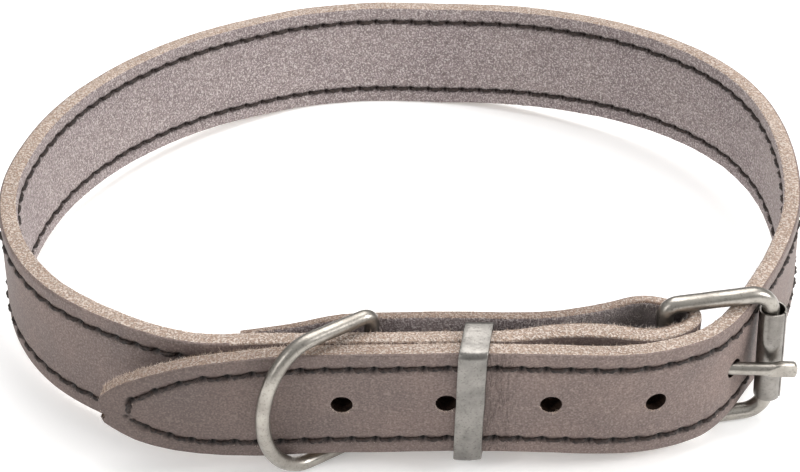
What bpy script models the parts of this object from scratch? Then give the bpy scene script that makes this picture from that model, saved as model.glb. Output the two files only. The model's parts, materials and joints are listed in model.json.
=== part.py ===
"""Leather dog collar, buckled: one sewn strap, a D-ring, a keeper and a roller buckle."""
import math

import bmesh
import bpy
import numpy as np
from mathutils import Euler, Matrix, Vector

# Sizes in metres. X is to the right, Y to the back, Z up, and the buckle side is the front.
STRAP_WIDTH = 0.025
STRAP_THICK = 0.0035
STRAP_EDGE_ROUND = 0.0004
HALF_ACROSS = 0.083
HALF_DEPTH = 0.074
GAP = 0.0003
CENTRE_SHIFT = (0.0, -0.0013, 0.0)

# Buckle frame: a bent wire loop, its heel bar in the fold and its outer bar in the roller
FRAME_WIRE = 0.0032
FRAME_LOOSE = 0.0007
FRAME_HEEL_CORNER = 0.0025
FRAME_OUTER_CORNER = 0.0042
FRAME_LEAN = 0.001
FRAME_BOTTOM = FRAME_WIRE / 2
FRAME_TOP = FRAME_BOTTOM + STRAP_WIDTH + FRAME_WIRE + FRAME_LOOSE
FRAME_MIDDLE = (FRAME_TOP + FRAME_BOTTOM) / 2
FRAME_SKEW = 0.06
FOLD_CENTRE = (0.6024 * HALF_ACROSS, -0.8340 * HALF_DEPTH + 2.17 * STRAP_THICK)
HEEL_IN_FOLD = 0.0014
HEEL = (FOLD_CENTRE[0] - HEEL_IN_FOLD, FOLD_CENTRE[1])
OUTER_BAR = (0.8301 * HALF_ACROSS, -0.6784 * HALF_DEPTH)

# Roller: a thin tube that hangs loose on the outer bar
ROLLER_WALL = 0.00045
ROLLER_PLAY = 0.00055
ROLLER_HANG = 0.0004
ROLLER_PAST_BEND = 0.0003
ROLLER_OUTER = FRAME_WIRE + 2 * (ROLLER_WALL + ROLLER_PLAY)
ROLLER_LENGTH = FRAME_TOP - FRAME_BOTTOM - 2 * (FRAME_OUTER_CORNER - ROLLER_PAST_BEND)

# Tongue: a wire eye on the heel bar, a shank through the leather, a flattened end
TONGUE_WIRE = 0.0025
TONGUE_EYE_WIRE = 0.0018
TONGUE_BELOW_MIDDLE = 0.00035
TONGUE_OFF_ROLLER = 0.00095
TONGUE_PAST_ROLLER = 0.0047
TONGUE_FLAT_LENGTH = 0.0055
TONGUE_FLAT_THICK = 0.0020
TONGUE_FLAT_TALL = 0.0030
TONGUE_CLEAR = 0.00045
TONGUE_WAY_LONG = 0.0090
SLOT_PAST = 0.001
TONGUE_HEIGHT = FRAME_MIDDLE - TONGUE_BELOW_MIDDLE
TONGUE_SIDE = (ROLLER_OUTER + TONGUE_WIRE) / 2 + TONGUE_OFF_ROLLER
TONGUE_TIP = (OUTER_BAR[0] + TONGUE_PAST_ROLLER, OUTER_BAR[1] - TONGUE_SIDE)

# Punched holes: the last one holds the tongue, the others run on towards the tip
HOLE_DIAMETER = 0.004
HOLE_PAST_TONGUE = 0.0018
TONGUE_IN_HOLE = 0.0008
HOLE_ABOVE_MIDDLE = 0.0004
HOLE_SPACING = 0.0190
HOLE_COUNT = 5

# D-ring: bent wire that stands on the table, its bar caught between two layers of leather
RING_WIRE = 0.0028
RING_LOOSE = 0.0032
RING_REACH = 0.0230
RING_STRAIGHT = 0.0129
RING_CORNER = 0.0022
RING_TURN = 34.1
RING_TIP_LEFT = 2.3
RING_TIP_FRONT = 4.65
RING_HALF_HEIGHT = (STRAP_WIDTH + RING_WIRE + RING_LOOSE) / 2
RING_BAR = (
    -0.0777 * HALF_ACROSS,
    -0.8850 * HALF_DEPTH + 2.038 * STRAP_THICK,
    RING_HALF_HEIGHT + RING_WIRE / 2 + GAP / 2,
)

# Keeper: a flat band bent round the two outer layers
KEEPER_AT = 0.1512 * HALF_ACROSS
KEEPER_WIDTH = 0.0052
KEEPER_WALL = 0.0008
KEEPER_CORNER = 0.0012
KEEPER_LOOSE = 0.0002
KEEPER_SLANT = 0.16
KEEPER_TILT = 0.035

# The fold of leather round the heel bar, and how far the frame holds the front off the table
FOLD_THICK = 0.77
FOLD_INNER = FRAME_WIRE / 2 + GAP
FOLD_LIFT = 1.014
FOLD_ANGLES = (-56, -32, -8, 16, 40, 64, 88)
RISE = FRAME_WIRE + GAP

# The strap's way from the tip of the free end, once round the neck, to the fold. Shares:
# across of HALF_ACROSS, back of HALF_DEPTH, layer of STRAP_THICK (how far the row lies
# inwards of the free end it is pressed against), lift of the lower edge of RISE, lean of
# the upper edge towards the grain side and height of the section of STRAP_WIDTH,
# thickness of STRAP_THICK.
# place, across, back, layer, lift, lean, thick, tall
TO_FOLD = [
    ("tip", -0.6720, -0.8650, 0.000, 0.721, 0.046, 0.92, 0.16),
    ("tip", -0.6685, -0.8655, 0.000, 0.721, 0.046, 0.97, 0.24),
    ("tip", -0.6500, -0.8680, 0.000, 0.721, 0.048, 0.99, 0.35),
    ("tip", -0.6280, -0.8710, 0.000, 0.736, 0.050, 1.00, 0.46),
    ("tip", -0.6000, -0.8760, 0.000, 0.757, 0.052, 1.00, 0.57),
    ("tip", -0.5600, -0.8800, 0.000, 0.793, 0.055, 1.00, 0.69),
    ("tip", -0.5120, -0.8820, 0.000, 0.843, 0.058, 1.00, 0.79),
    ("tip", -0.4600, -0.8825, 0.000, 0.900, 0.062, 1.00, 0.87),
    ("tip", -0.4100, -0.8825, 0.000, 0.950, 0.066, 1.00, 0.925),
    ("tip", -0.3200, -0.8810, 0.000, 1.050, 0.073, 1.00, 0.985),
    ("free end", -0.2300, -0.8800, 0.000, 1.207, 0.081, 1.00, 1.0),
    ("free end", -0.1400, -0.8810, 0.000, 1.300, 0.087, 1.00, 1.0),
    ("free end", -0.0300, -0.8820, 0.000, 1.350, 0.088, 1.00, 1.0),
    ("free end", 0.1000, -0.8810, 0.000, 1.400, 0.088, 1.00, 1.0),
    ("free end", 0.2200, -0.8815, 0.000, 1.386, 0.088, 1.00, 1.0),
    ("free end", 0.3300, -0.8815, 0.000, 1.314, 0.086, 1.00, 1.0),
    ("free end", 0.4420, -0.8780, 0.000, 1.171, 0.080, 1.00, 1.0),
    ("free end", 0.5310, -0.8620, 0.000, 1.050, 0.070, 1.00, 1.0),
    ("free end", 0.6090, -0.8302, 0.000, 0.957, 0.058, 1.00, 1.0),
    ("free end", 0.6700, -0.7915, 0.000, 0.907, 0.050, 1.00, 1.0),
    ("buckle side", 0.7260, -0.7306, 0.000, 1.014, 0.040, 0.97, 1.0),
    ("buckle side", 0.7770, -0.6423, 0.000, 1.021, 0.027, 0.97, 1.0),
    ("right", 0.8330, -0.5350, 0.000, 1.007, 0.010, 0.98, 1.0),
    ("right", 0.8920, -0.3980, 0.000, 0.893, -0.015, 1.00, 1.0),
    ("right", 0.9410, -0.2500, 0.000, 0.864, -0.040, 1.00, 1.0),
    ("right", 0.9690, -0.0870, 0.000, 0.893, -0.065, 1.00, 1.0),
    ("right", 0.9740, 0.0900, 0.000, 1.079, -0.081, 1.00, 1.0),
    ("right", 0.9510, 0.2600, 0.000, 1.300, -0.082, 1.00, 1.0),
    ("right", 0.8940, 0.4150, 0.000, 1.464, -0.072, 1.00, 1.0),
    ("back", 0.8110, 0.5420, 0.000, 1.521, -0.050, 1.00, 1.0),
    ("back", 0.7040, 0.6560, 0.000, 1.457, -0.022, 1.00, 1.0),
    ("back", 0.5840, 0.7530, 0.000, 1.264, 0.014, 1.00, 1.0),
    ("back", 0.4550, 0.8360, 0.000, 0.950, 0.049, 1.00, 1.0),
    ("back", 0.3120, 0.9070, 0.000, 0.557, 0.080, 1.00, 1.0),
    ("back", 0.1900, 0.9470, 0.000, 0.236, 0.096, 1.00, 1.0),
    ("rests", 0.0900, 0.9680, 0.000, 0.029, 0.102, 1.00, 1.0),
    ("rests", 0.0100, 0.9770, 0.000, 0.000, 0.102, 1.00, 1.0),
    ("rests", -0.0700, 0.9795, 0.000, 0.000, 0.098, 1.00, 1.0),
    ("rests", -0.1500, 0.9740, 0.000, 0.000, 0.091, 1.00, 1.0),
    ("rests", -0.2200, 0.9610, 0.000, 0.000, 0.083, 1.00, 1.0),
    ("back", -0.3000, 0.9370, 0.000, 0.050, 0.070, 1.00, 1.0),
    ("back", -0.4200, 0.8690, 0.000, 0.229, 0.043, 1.00, 1.0),
    ("left", -0.5560, 0.7660, 0.000, 0.521, 0.011, 1.03, 1.0),
    ("left", -0.6740, 0.6450, 0.000, 0.786, -0.016, 1.03, 1.0),
    ("left", -0.7820, 0.5000, 0.000, 1.007, -0.038, 1.03, 1.0),
    ("left", -0.8680, 0.3470, 0.000, 1.121, -0.050, 1.03, 1.0),
    ("left", -0.9300, 0.1900, 0.000, 1.136, -0.054, 1.03, 1.0),
    ("left", -0.9670, 0.0280, 0.000, 1.079, -0.051, 1.03, 1.0),
    ("left", -0.9800, -0.1455, 0.000, 1.020, -0.042, 1.03, 1.0),
    ("left", -0.9520, -0.3250, 0.000, 0.930, -0.030, 1.03, 1.0),
    ("left", -0.8860, -0.4840, 0.000, 0.830, -0.016, 1.03, 1.0),
    ("front", -0.7950, -0.6070, 0.000, 0.765, -0.003, 1.03, 1.0),
    ("front", -0.6820, -0.7020, 0.000, 0.750, 0.010, 1.01, 1.0),
    ("front", -0.5600, -0.7800, 0.000, 0.843, 0.028, 0.98, 1.0),
    ("front", -0.4400, -0.8230, 0.000, 0.971, 0.048, 0.98, 1.0),
    ("middle layer", -0.3300, -0.8695, 0.914, 1.129, 0.066, 0.95, 1.0),
    ("middle layer", -0.2200, -0.8736, 0.914, 1.257, 0.081, 0.86, 1.0),
    ("middle layer", -0.0720, -0.8766, 0.914, 1.386, 0.088, 0.86, 1.0),
    ("middle layer", 0.0700, -0.8761, 0.914, 1.414, 0.088, 0.86, 1.0),
    ("middle layer", 0.1650, -0.8750, 0.914, 1.407, 0.088, 0.88, 1.0),
    ("middle layer", 0.2300, -0.8703, 0.914, 1.386, 0.086, 0.95, 1.0),
    ("middle layer", 0.2890, -0.8567, 0.914, 1.329, 0.082, 1.05, 1.0),
    ("middle layer", 0.3520, -0.8432, 0.914, 1.264, 0.076, 1.12, 1.0),
    ("middle layer", 0.4200, -0.8381, 0.914, 1.164, 0.068, 1.15, 1.0),
    ("middle layer", 0.4820, -0.8429, 0.914, 1.043, 0.060, 1.10, 1.0),
    ("middle layer", 0.5400, -0.8499, 0.914, 1.021, 0.052, 1.00, 1.0),
    ("middle layer", 0.5860, -0.8351, 0.914, 1.007, 0.044, 0.90, 1.0),
]
FROM_FOLD = [
    ("fold-back", 0.5360, -0.7721, 2.200, 1.036, -0.048, 0.70, 1.0),
    ("fold-back", 0.4760, -0.7921, 2.200, 1.086, -0.058, 0.66, 1.0),
    ("fold-back", 0.4100, -0.8191, 2.200, 1.171, -0.068, 0.63, 1.0),
    ("fold-back", 0.3370, -0.8421, 2.200, 1.279, -0.076, 0.62, 1.0),
    ("fold-back", 0.2410, -0.8541, 2.200, 1.386, -0.084, 0.61, 1.0),
    ("fold-back", 0.1450, -0.8536, 2.200, 1.436, -0.088, 0.60, 1.0),
    ("fold-back", 0.0480, -0.8534, 2.200, 1.429, -0.088, 0.58, 1.0),
    ("fold-back", -0.0360, -0.8554, 2.200, 1.429, -0.088, 0.57, 1.0),
    ("fold-back", -0.1000, -0.8549, 2.200, 1.386, -0.087, 0.55, 1.0),
    ("fold-back", -0.1650, -0.8634, 2.200, 1.329, -0.084, 0.51, 1.0),
    ("fold-back", -0.2300, -0.8831, 2.200, 1.271, -0.079, 0.43, 1.0),
    ("fold-back", -0.3000, -0.8991, 2.200, 1.193, -0.070, 0.34, 1.0),
    ("skived end", -0.3600, -0.9091, 2.200, 1.136, -0.062, 0.24, 1.0),
]
LONGEST_STEP = 0.004
SHARPEST_STEP = 9.0
WIRE_SIDES = 4
SHARP_FROM = 35.0


def clear_scene():
    """Take away the objects that a new file starts with."""
    for obj in list(bpy.data.objects):
        bpy.data.objects.remove(obj)


def collection(name, hidden=False):
    """A collection in the scene, for the parts or for the cutters."""
    made = bpy.data.collections.new(name)
    bpy.context.scene.collection.children.link(made)
    made.hide_render = hidden
    return made


def material(name, colour, roughness, metallic):
    """A plain surface of one colour."""
    made = bpy.data.materials.new(name)
    made.use_nodes = True
    shader = made.node_tree.nodes["Principled BSDF"]
    shader.inputs["Base Color"].default_value = (*colour, 1.0)
    shader.inputs["Roughness"].default_value = roughness
    shader.inputs["Metallic"].default_value = metallic
    return made


def add(name, mesh, into, surface=None):
    """An object holding this mesh, in this collection."""
    made = bpy.data.objects.new(name, mesh)
    into.objects.link(made)
    if surface:
        mesh.materials.append(surface)
    return made


# The strap's way


def fold_rows():
    """The rows on the arc round the heel bar, in the table's columns."""
    rows = []
    radius = FOLD_INNER + FOLD_THICK * STRAP_THICK / 2
    for degrees in FOLD_ANGLES:
        turn = math.radians(degrees)
        across = (FOLD_CENTRE[0] + radius * math.cos(turn)) / HALF_ACROSS
        back = (FOLD_CENTRE[1] + radius * math.sin(turn)) / HALF_DEPTH
        lean = -FRAME_LEAN / STRAP_WIDTH * math.sin(turn)
        rows.append(("fold", across, back, 0.0, FOLD_LIFT, lean, FOLD_THICK, 1.0))
    return rows


def spline(at, values, wanted):
    """A natural cubic spline through the values, read at the wanted places."""
    count = len(at)
    step = np.diff(at)
    slope = np.diff(values, axis=0) / step[:, None]
    system = np.eye(count)
    right = np.zeros_like(values)
    for i in range(1, count - 1):
        system[i, i - 1] = step[i - 1]
        system[i, i] = 2 * (step[i - 1] + step[i])
        system[i, i + 1] = step[i]
        right[i] = 6 * (slope[i] - slope[i - 1])
    bend = np.linalg.solve(system, right)
    i = np.clip(np.searchsorted(at, wanted, side="right") - 1, 0, count - 2)
    h = step[i][:, None]
    a = (at[i + 1] - wanted)[:, None] / h
    b = (wanted - at[i])[:, None] / h
    straight = a * values[i] + b * values[i + 1]
    return straight + ((a**3 - a) * bend[i] + (b**3 - b) * bend[i + 1]) * h**2 / 6


def strap_way():
    """Places along the strap: metres from the tip, and x, y, lift, lean, thickness, height."""
    rows = TO_FOLD + fold_rows() + FROM_FOLD
    sizes = [HALF_ACROSS, HALF_DEPTH, STRAP_THICK, RISE]
    sizes += [STRAP_WIDTH, STRAP_THICK, STRAP_WIDTH]
    values = np.array([row[1:] for row in rows]) * sizes
    values[:, 1] += values[:, 2]
    values = np.delete(values, 2, axis=1)
    at = np.concatenate([[0], np.cumsum(np.hypot(*np.diff(values[:, :2], axis=0).T))])
    fine = np.linspace(0, at[-1], 8001)
    smooth = spline(at, values, fine)
    for column in (2, 4, 5):
        smooth[:, column] = np.interp(fine, at, values[:, column])
    length = np.concatenate([[0], np.cumsum(np.hypot(*np.diff(smooth[:, :2], axis=0).T))])
    return length, smooth


def grain_side(way):
    """Unit directions from the flesh side to the grain side at each place."""
    ahead = np.gradient(way[:, :2], axis=0)
    ahead /= np.hypot(ahead[:, 0], ahead[:, 1])[:, None]
    return np.stack([ahead[:, 1], -ahead[:, 0]], axis=1)


def stations(length, out):
    """Places for the sections: a few millimetres apart, and closer where the strap bends."""
    angle = np.unwrap(np.arctan2(out[:, 1], out[:, 0]))
    chosen = [0]
    for i in range(1, len(length)):
        far = length[i] - length[chosen[-1]]
        turned = abs(angle[i] - angle[chosen[-1]])
        near_tip = length[i] < 0.009 and far > 0.0008
        if far > LONGEST_STEP or turned > math.radians(SHARPEST_STEP) or near_tip:
            chosen.append(i)
    chosen[-1] = len(length) - 1
    return chosen


def section(place, out):
    """The eight corners of the strap's rounded section at one place."""
    x, y, lift, lean, thick, tall = place
    middle = lift + STRAP_WIDTH / 2
    cut = min(STRAP_EDGE_ROUND, thick / 3, tall / 4)
    t, h = thick / 2, tall / 2
    corners = [(t, h - cut), (t - cut, h), (-t + cut, h), (-t, h - cut)]
    corners += [(-s, -z) for s, z in corners]
    points = []
    for side, up in corners:
        push = side + lean * up / STRAP_WIDTH
        points.append((x + out[0] * push, y + out[1] * push, middle + up))
    return points


def strap_mesh():
    """Sections joined from the tip to the skived end, with the ends closed."""
    length, way = strap_way()
    out = grain_side(way)
    mesh = bmesh.new()
    rings = []
    for i in stations(length, out):
        rings.append([mesh.verts.new(p) for p in section(way[i], out[i])])
    for first, second in zip(rings, rings[1:]):
        for k in range(8):
            n = (k + 1) % 8
            mesh.faces.new((first[k], first[n], second[n], second[k]))
    mesh.faces.new(rings[0][::-1])
    mesh.faces.new(rings[-1])
    bmesh.ops.recalc_face_normals(mesh, faces=mesh.faces)
    made = bpy.data.meshes.new("strap")
    mesh.to_mesh(made)
    mesh.free()
    return made


# Shapes used more than once


def tube(name, points, wire, into, surface, cyclic=False):
    """A round wire along the points, as a closed mesh."""
    curve = bpy.data.curves.new(name, "CURVE")
    curve.dimensions = "3D"
    curve.bevel_depth = wire / 2
    curve.bevel_resolution = WIRE_SIDES
    curve.use_fill_caps = not cyclic
    line = curve.splines.new("POLY")
    line.points.add(len(points) - 1)
    for point, place in zip(line.points, points):
        point.co = (*place, 1.0)
    line.use_cyclic_u = cyclic
    drawn = add(name + "_line", curve, into)
    bpy.context.view_layer.update()
    graph = bpy.context.evaluated_depsgraph_get()
    mesh = bpy.data.meshes.new_from_object(drawn.evaluated_get(graph))
    bpy.data.objects.remove(drawn)
    work = bmesh.new()
    work.from_mesh(mesh)
    bmesh.ops.remove_doubles(work, verts=work.verts, dist=1e-6)
    bmesh.ops.recalc_face_normals(work, faces=work.faces)
    work.to_mesh(mesh)
    work.free()
    mesh.materials.clear()
    return add(name, mesh, into, surface)


def rounded_loop(half_long, low, high, left, right, steps=6):
    """A rounded rectangle in the X-Z plane, as points, with these corners left and right."""
    centres = [
        (half_long - right, high - right, 0, right),
        (-half_long + left, high - left, 90, left),
        (-half_long + left, low + left, 180, left),
        (half_long - right, low + right, 270, right),
    ]
    points = []
    for x, z, start, corner in centres:
        for k in range(steps + 1):
            turn = math.radians(start + 90 * k / steps)
            points.append((x + corner * math.cos(turn), 0, z + corner * math.sin(turn)))
    return points


def cylinder(name, centre, along, diameter, length, into, sides=20):
    """A cylinder centred here, its axis this way."""
    bpy.ops.mesh.primitive_cylinder_add(vertices=sides, radius=diameter / 2, depth=length)
    made = bpy.context.object
    made.name = name
    turn = Vector(along).to_track_quat("Z", "Y").to_matrix().to_4x4()
    made.data.transform(Matrix.Translation(Vector(centre)) @ turn)
    for owner in list(made.users_collection):
        owner.objects.unlink(made)
    into.objects.link(made)
    return made


def box(name, low, high, into):
    """A box between two corners."""
    bpy.ops.mesh.primitive_cube_add(size=1.0)
    made = bpy.context.object
    made.name = name
    size = [b - a for a, b in zip(low, high)]
    middle = Vector([(a + b) / 2 for a, b in zip(low, high)])
    made.data.transform(Matrix.Translation(middle) @ Matrix.Diagonal((*size, 1.0)))
    for owner in list(made.users_collection):
        owner.objects.unlink(made)
    into.objects.link(made)
    return made


def combine(target, tool, operation):
    """Cut the tool out of the target, or join it on."""
    tool.hide_render = True
    tool.display_type = "WIRE"
    step = target.modifiers.new(tool.name, "BOOLEAN")
    step.operation = operation
    step.solver = "EXACT"
    step.object = tool


def smooth(piece):
    """Shade the piece round, but keep its real corners sharp."""
    piece.data.shade_smooth()
    piece.data.set_sharp_from_angle(angle=math.radians(SHARP_FROM))
    return piece


def frame_lean():
    """The frame's small lean and skew, about the middle of its heel bar."""
    lean = math.atan(FRAME_LEAN / STRAP_WIDTH)
    pivot = Vector((*HEEL, FRAME_MIDDLE))
    skew = Matrix.Identity(4)
    skew[0][2] = -FRAME_SKEW
    turn = Matrix.Rotation(lean, 4, "X") @ skew
    return Matrix.Translation(pivot) @ turn @ Matrix.Translation(-pivot)


# The pieces


def where_tongue_crosses(length, way):
    """How far from the tip the tongue passes through the free end."""
    slope = (TONGUE_TIP[1] - HEEL[1]) / (TONGUE_TIP[0] - HEEL[0])
    off_line = way[:, 1] - HEEL[1] - slope * (way[:, 0] - HEEL[0])
    near = (way[:, 0] > HEEL[0]) & (length < length[-1] / 2)
    return length[near][np.argmin(np.abs(off_line[near]))]


def build_strap(parts, cutters, leather):
    """The leather, its five holes and the slot that lets the tongue out of the fold."""
    strap = add("strap", strap_mesh(), parts, leather)
    length, way = strap_way()
    out = grain_side(way)
    tongue_hole = where_tongue_crosses(length, way)
    for number in range(HOLE_COUNT):
        off = HOLE_PAST_TONGUE if number else TONGUE_IN_HOLE
        far = tongue_hole + off - number * HOLE_SPACING
        i = int(np.searchsorted(length, far))
        x, y, lift, lean, thick = way[i][:5]
        normal = Vector((out[i][0], out[i][1], 0))
        inner = thick / 2 + GAP / 2
        outer = thick / 2 + 0.002
        up = HOLE_ABOVE_MIDDLE if number else 0.0
        centre = Vector((x, y, lift + STRAP_WIDTH / 2 + up)) + normal * (outer - inner) / 2
        lean_down = Vector((0, 0, -lean / STRAP_WIDTH))
        hole = cylinder(
            f"hole_{number + 1}",
            centre,
            normal + lean_down,
            HOLE_DIAMETER,
            inner + outer,
            cutters,
        )
        combine(strap, hole, "DIFFERENCE")
    reach = TONGUE_WIRE / 2 + TONGUE_CLEAR
    along = Vector(TONGUE_TIP) - Vector(HEEL)
    through = way[int(np.searchsorted(length, tongue_hole)), :2]
    way_out = cylinder(
        "tongue_way",
        (*through, TONGUE_HEIGHT),
        (*along, 0),
        2 * reach,
        TONGUE_WAY_LONG,
        cutters,
    )
    combine(strap, way_out, "DIFFERENCE")
    eye = FRAME_WIRE / 2 + GAP + TONGUE_EYE_WIRE + GAP
    pocket = cylinder(
        "eye_pocket", (*HEEL, TONGUE_HEIGHT), (0, 0, 1), 2 * eye, 2 * reach, cutters
    )
    combine(strap, pocket, "DIFFERENCE")
    fold = FOLD_INNER + FOLD_THICK * STRAP_THICK
    past = (FOLD_CENTRE[0] + fold + SLOT_PAST / 2, HEEL[1] + fold + 2 * SLOT_PAST)
    slot = box(
        "slot",
        (HEEL[0] - eye - SLOT_PAST, HEEL[1] - reach, TONGUE_HEIGHT - reach),
        (past[0], past[1], TONGUE_HEIGHT + reach),
        cutters,
    )
    combine(strap, slot, "DIFFERENCE")
    return strap


def build_frame(parts, nickel):
    """The wire frame, bent to a rounded rectangle standing across the strap."""
    heel, outer = Vector(HEEL), Vector(OUTER_BAR)
    corners = (FRAME_HEEL_CORNER, FRAME_OUTER_CORNER)
    loop = rounded_loop((outer - heel).length / 2, FRAME_BOTTOM, FRAME_TOP, *corners)
    frame = tube("buckle_frame", loop, FRAME_WIRE, parts, nickel, cyclic=True)
    middle = (heel + outer) / 2
    turn = math.atan2(outer.y - heel.y, outer.x - heel.x)
    place = Matrix.Translation((middle.x, middle.y, 0)) @ Matrix.Rotation(turn, 4, "Z")
    frame.data.transform(frame_lean() @ place)
    return smooth(frame)


def build_roller(parts, nickel):
    """A thin tube, loose on the outer bar."""
    outer = ROLLER_OUTER / 2
    inner = outer - ROLLER_WALL
    half = ROLLER_LENGTH / 2
    profile = [(outer, half), (outer, -half), (inner, -half), (inner, half)]
    mesh = bpy.data.meshes.new("buckle_roller")
    points = [(x, 0, z) for x, z in profile]
    mesh.from_pydata(points, [(0, 1), (1, 2), (2, 3), (3, 0)], [])
    roller = add("buckle_roller", mesh, parts, nickel)
    screw = roller.modifiers.new("round", "SCREW")
    screw.steps = 32
    screw.render_steps = 32
    screw.use_merge_vertices = True
    screw.merge_threshold = 0.00001
    heel, bar = Vector(HEEL), Vector(OUTER_BAR)
    away = (bar - heel).normalized() * ROLLER_HANG
    place = Vector((bar.x + away.x, bar.y + away.y, FRAME_MIDDLE))
    roller.location = frame_lean() @ place
    axis = frame_lean().to_3x3() @ Vector((0, 0, 1))
    roller.rotation_euler = Vector((0, 0, 1)).rotation_difference(axis).to_euler()
    return roller


def build_tongue(parts, cutters, nickel):
    """A wire eye round the heel bar, a straight shank and a flattened end."""
    ring = FRAME_WIRE / 2 + GAP + TONGUE_EYE_WIRE / 2
    bpy.ops.mesh.primitive_torus_add(
        major_radius=ring,
        minor_radius=TONGUE_EYE_WIRE / 2,
        major_segments=24,
        minor_segments=10,
        location=(0, 0, 0),
    )
    tongue = bpy.context.object
    tongue.name = "buckle_tongue"
    for owner in list(tongue.users_collection):
        owner.objects.unlink(tongue)
    parts.objects.link(tongue)
    tongue.data.materials.clear()
    tongue.data.materials.append(nickel)
    reach = (Vector(TONGUE_TIP) - Vector(HEEL)).length
    start = ring
    flat = reach - TONGUE_FLAT_LENGTH
    shank = tube(
        "shank",
        [(start, 0, 0), (start + 0.003, 0, 0), (flat + 0.002, 0, 0)],
        TONGUE_WIRE,
        cutters,
        None,
    )
    combine(tongue, shank, "UNION")
    end = box(
        "flat_end",
        (flat, -TONGUE_FLAT_THICK / 2, -TONGUE_FLAT_TALL / 2),
        (reach, TONGUE_FLAT_THICK / 2, TONGUE_FLAT_TALL / 2),
        cutters,
    )
    bevel = end.modifiers.new("soft edges", "BEVEL")
    bevel.width = 0.0007
    bevel.segments = 2
    combine(tongue, end, "UNION")
    turn = math.atan2(TONGUE_TIP[1] - HEEL[1], TONGUE_TIP[0] - HEEL[0])
    place = Matrix.Translation((*HEEL, TONGUE_HEIGHT)) @ Matrix.Rotation(turn, 4, "Z")
    for piece in (tongue, shank, end):
        piece.data.transform(place)
    return smooth(tongue)


def build_ring(parts, nickel):
    """The D: a straight bar with rounded corners, short legs and a half oval."""
    high, leg, corner = RING_HALF_HEIGHT, RING_STRAIGHT, RING_CORNER
    points = []
    for k in range(7):
        turn = math.radians(90 * k / 6)
        x = -corner + corner * math.cos(turn)
        points.append((x, high - corner + corner * math.sin(turn)))
    for k in range(25):
        turn = math.radians(90 - 180 * k / 24)
        x = -leg - (RING_REACH - leg) * math.cos(turn)
        points.append((x, high * math.sin(turn)))
    for k in range(7):
        turn = math.radians(270 + 90 * k / 6)
        x = -corner + corner * math.cos(turn)
        points.append((x, -high + corner + corner * math.sin(turn)))
    line = [(x, 0, z) for x, z in points]
    ring = tube("d_ring", line, RING_WIRE, parts, nickel, cyclic=True)
    ring.data.transform(Matrix.Rotation(math.radians(RING_TURN), 4, "Z"))
    tip = Euler((math.radians(RING_TIP_FRONT), math.radians(RING_TIP_LEFT), 0))
    ring.location = RING_BAR
    ring.rotation_euler = tip
    return smooth(ring)


def build_keeper(parts, cutters, nickel):
    """A band round the free end and the middle layer, leaning as they lean."""
    way = strap_way()[1]
    wall, half, clear = KEEPER_WALL, KEEPER_WIDTH / 2, GAP + KEEPER_LOOSE
    near = np.flatnonzero(np.abs(way[:, 0] - KEEPER_AT) < half)
    layers = np.split(near, np.flatnonzero(np.diff(near) > 1) + 1)
    free_end, middle = sorted(layers, key=lambda layer: way[layer, 1].min())[:2]
    lean = way[free_end, 3].mean()
    front = (way[free_end, 1] - way[free_end, 4] / 2).min() - clear
    back = (way[middle, 1] + way[middle, 4] / 2).max() + clear
    low = min(way[free_end, 2].min(), way[middle, 2].min()) - clear
    high = max(way[free_end, 2].max(), way[middle, 2].max()) + STRAP_WIDTH + clear
    keeper = box(
        "keeper",
        (KEEPER_AT - half, front - wall, low - wall),
        (KEEPER_AT + half, back + wall, high + wall),
        parts,
    )
    keeper.data.materials.append(nickel)
    round_off = keeper.modifiers.new("bent corners", "BEVEL")
    round_off.width = KEEPER_CORNER
    round_off.segments = 3
    round_off.limit_method = "WEIGHT"
    weights = keeper.data.attributes.new("bevel_weight_edge", "FLOAT", "EDGE")
    for edge in keeper.data.edges:
        a, b = (keeper.data.vertices[v].co for v in edge.vertices)
        weights.data[edge.index].value = 1.0 if abs(a.x - b.x) > half else 0.0
    inside = box(
        "keeper_inside",
        (KEEPER_AT - 2 * half, front, low),
        (KEEPER_AT + 2 * half, back, high),
        cutters,
    )
    combine(keeper, inside, "DIFFERENCE")
    centre = Vector((KEEPER_AT, (front + back) / 2, (low + high) / 2))
    slant = Matrix.Identity(4)
    slant[0][1], slant[0][2] = KEEPER_SLANT, KEEPER_TILT
    turn = Matrix.Translation(centre) @ Matrix.Rotation(math.atan(lean / STRAP_WIDTH), 4, "X")
    turn = turn @ slant
    for piece in (keeper, inside):
        piece.data.transform(turn @ Matrix.Translation(-centre))
    return smooth(keeper)


clear_scene()
PARTS = collection("leather_dog_collar")
CUTTERS = collection("cutters", hidden=True)
LEATHER = material("grey_leather", (0.275, 0.215, 0.200), 0.72, 0.0)
NICKEL = material("satin_nickel", (0.560, 0.550, 0.530), 0.32, 1.0)
KEEPER_METAL = material("matt_nickel", (0.400, 0.400, 0.390), 0.50, 1.0)
build_strap(PARTS, CUTTERS, LEATHER)
build_frame(PARTS, NICKEL)
build_roller(PARTS, NICKEL)
build_tongue(PARTS, CUTTERS, NICKEL)
build_ring(PARTS, NICKEL)
build_keeper(PARTS, CUTTERS, KEEPER_METAL)

# The whole collar is moved so that its box stands centred on the origin
PLACE = bpy.data.objects.new("collar", None)
PARTS.objects.link(PLACE)
PLACE.location = CENTRE_SHIFT
for owner in (PARTS, CUTTERS):
    for piece in owner.objects:
        if piece != PLACE:
            piece.parent = PLACE
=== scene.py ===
# %% [markdown]
# # A buckled leather dog collar
# The real collar is one strap of smooth grey-taupe cowhide, sewn along both edges with dark thread,
# with a roller buckle, a metal keeper and a D-ring. The solids of it are already packed: this
# lesson loads them, and then gives each piece the surface and the small detail of the real one.

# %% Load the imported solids
import json
import math

import bpy
import numpy as np
from mathutils import Euler, Matrix, Vector


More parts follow.
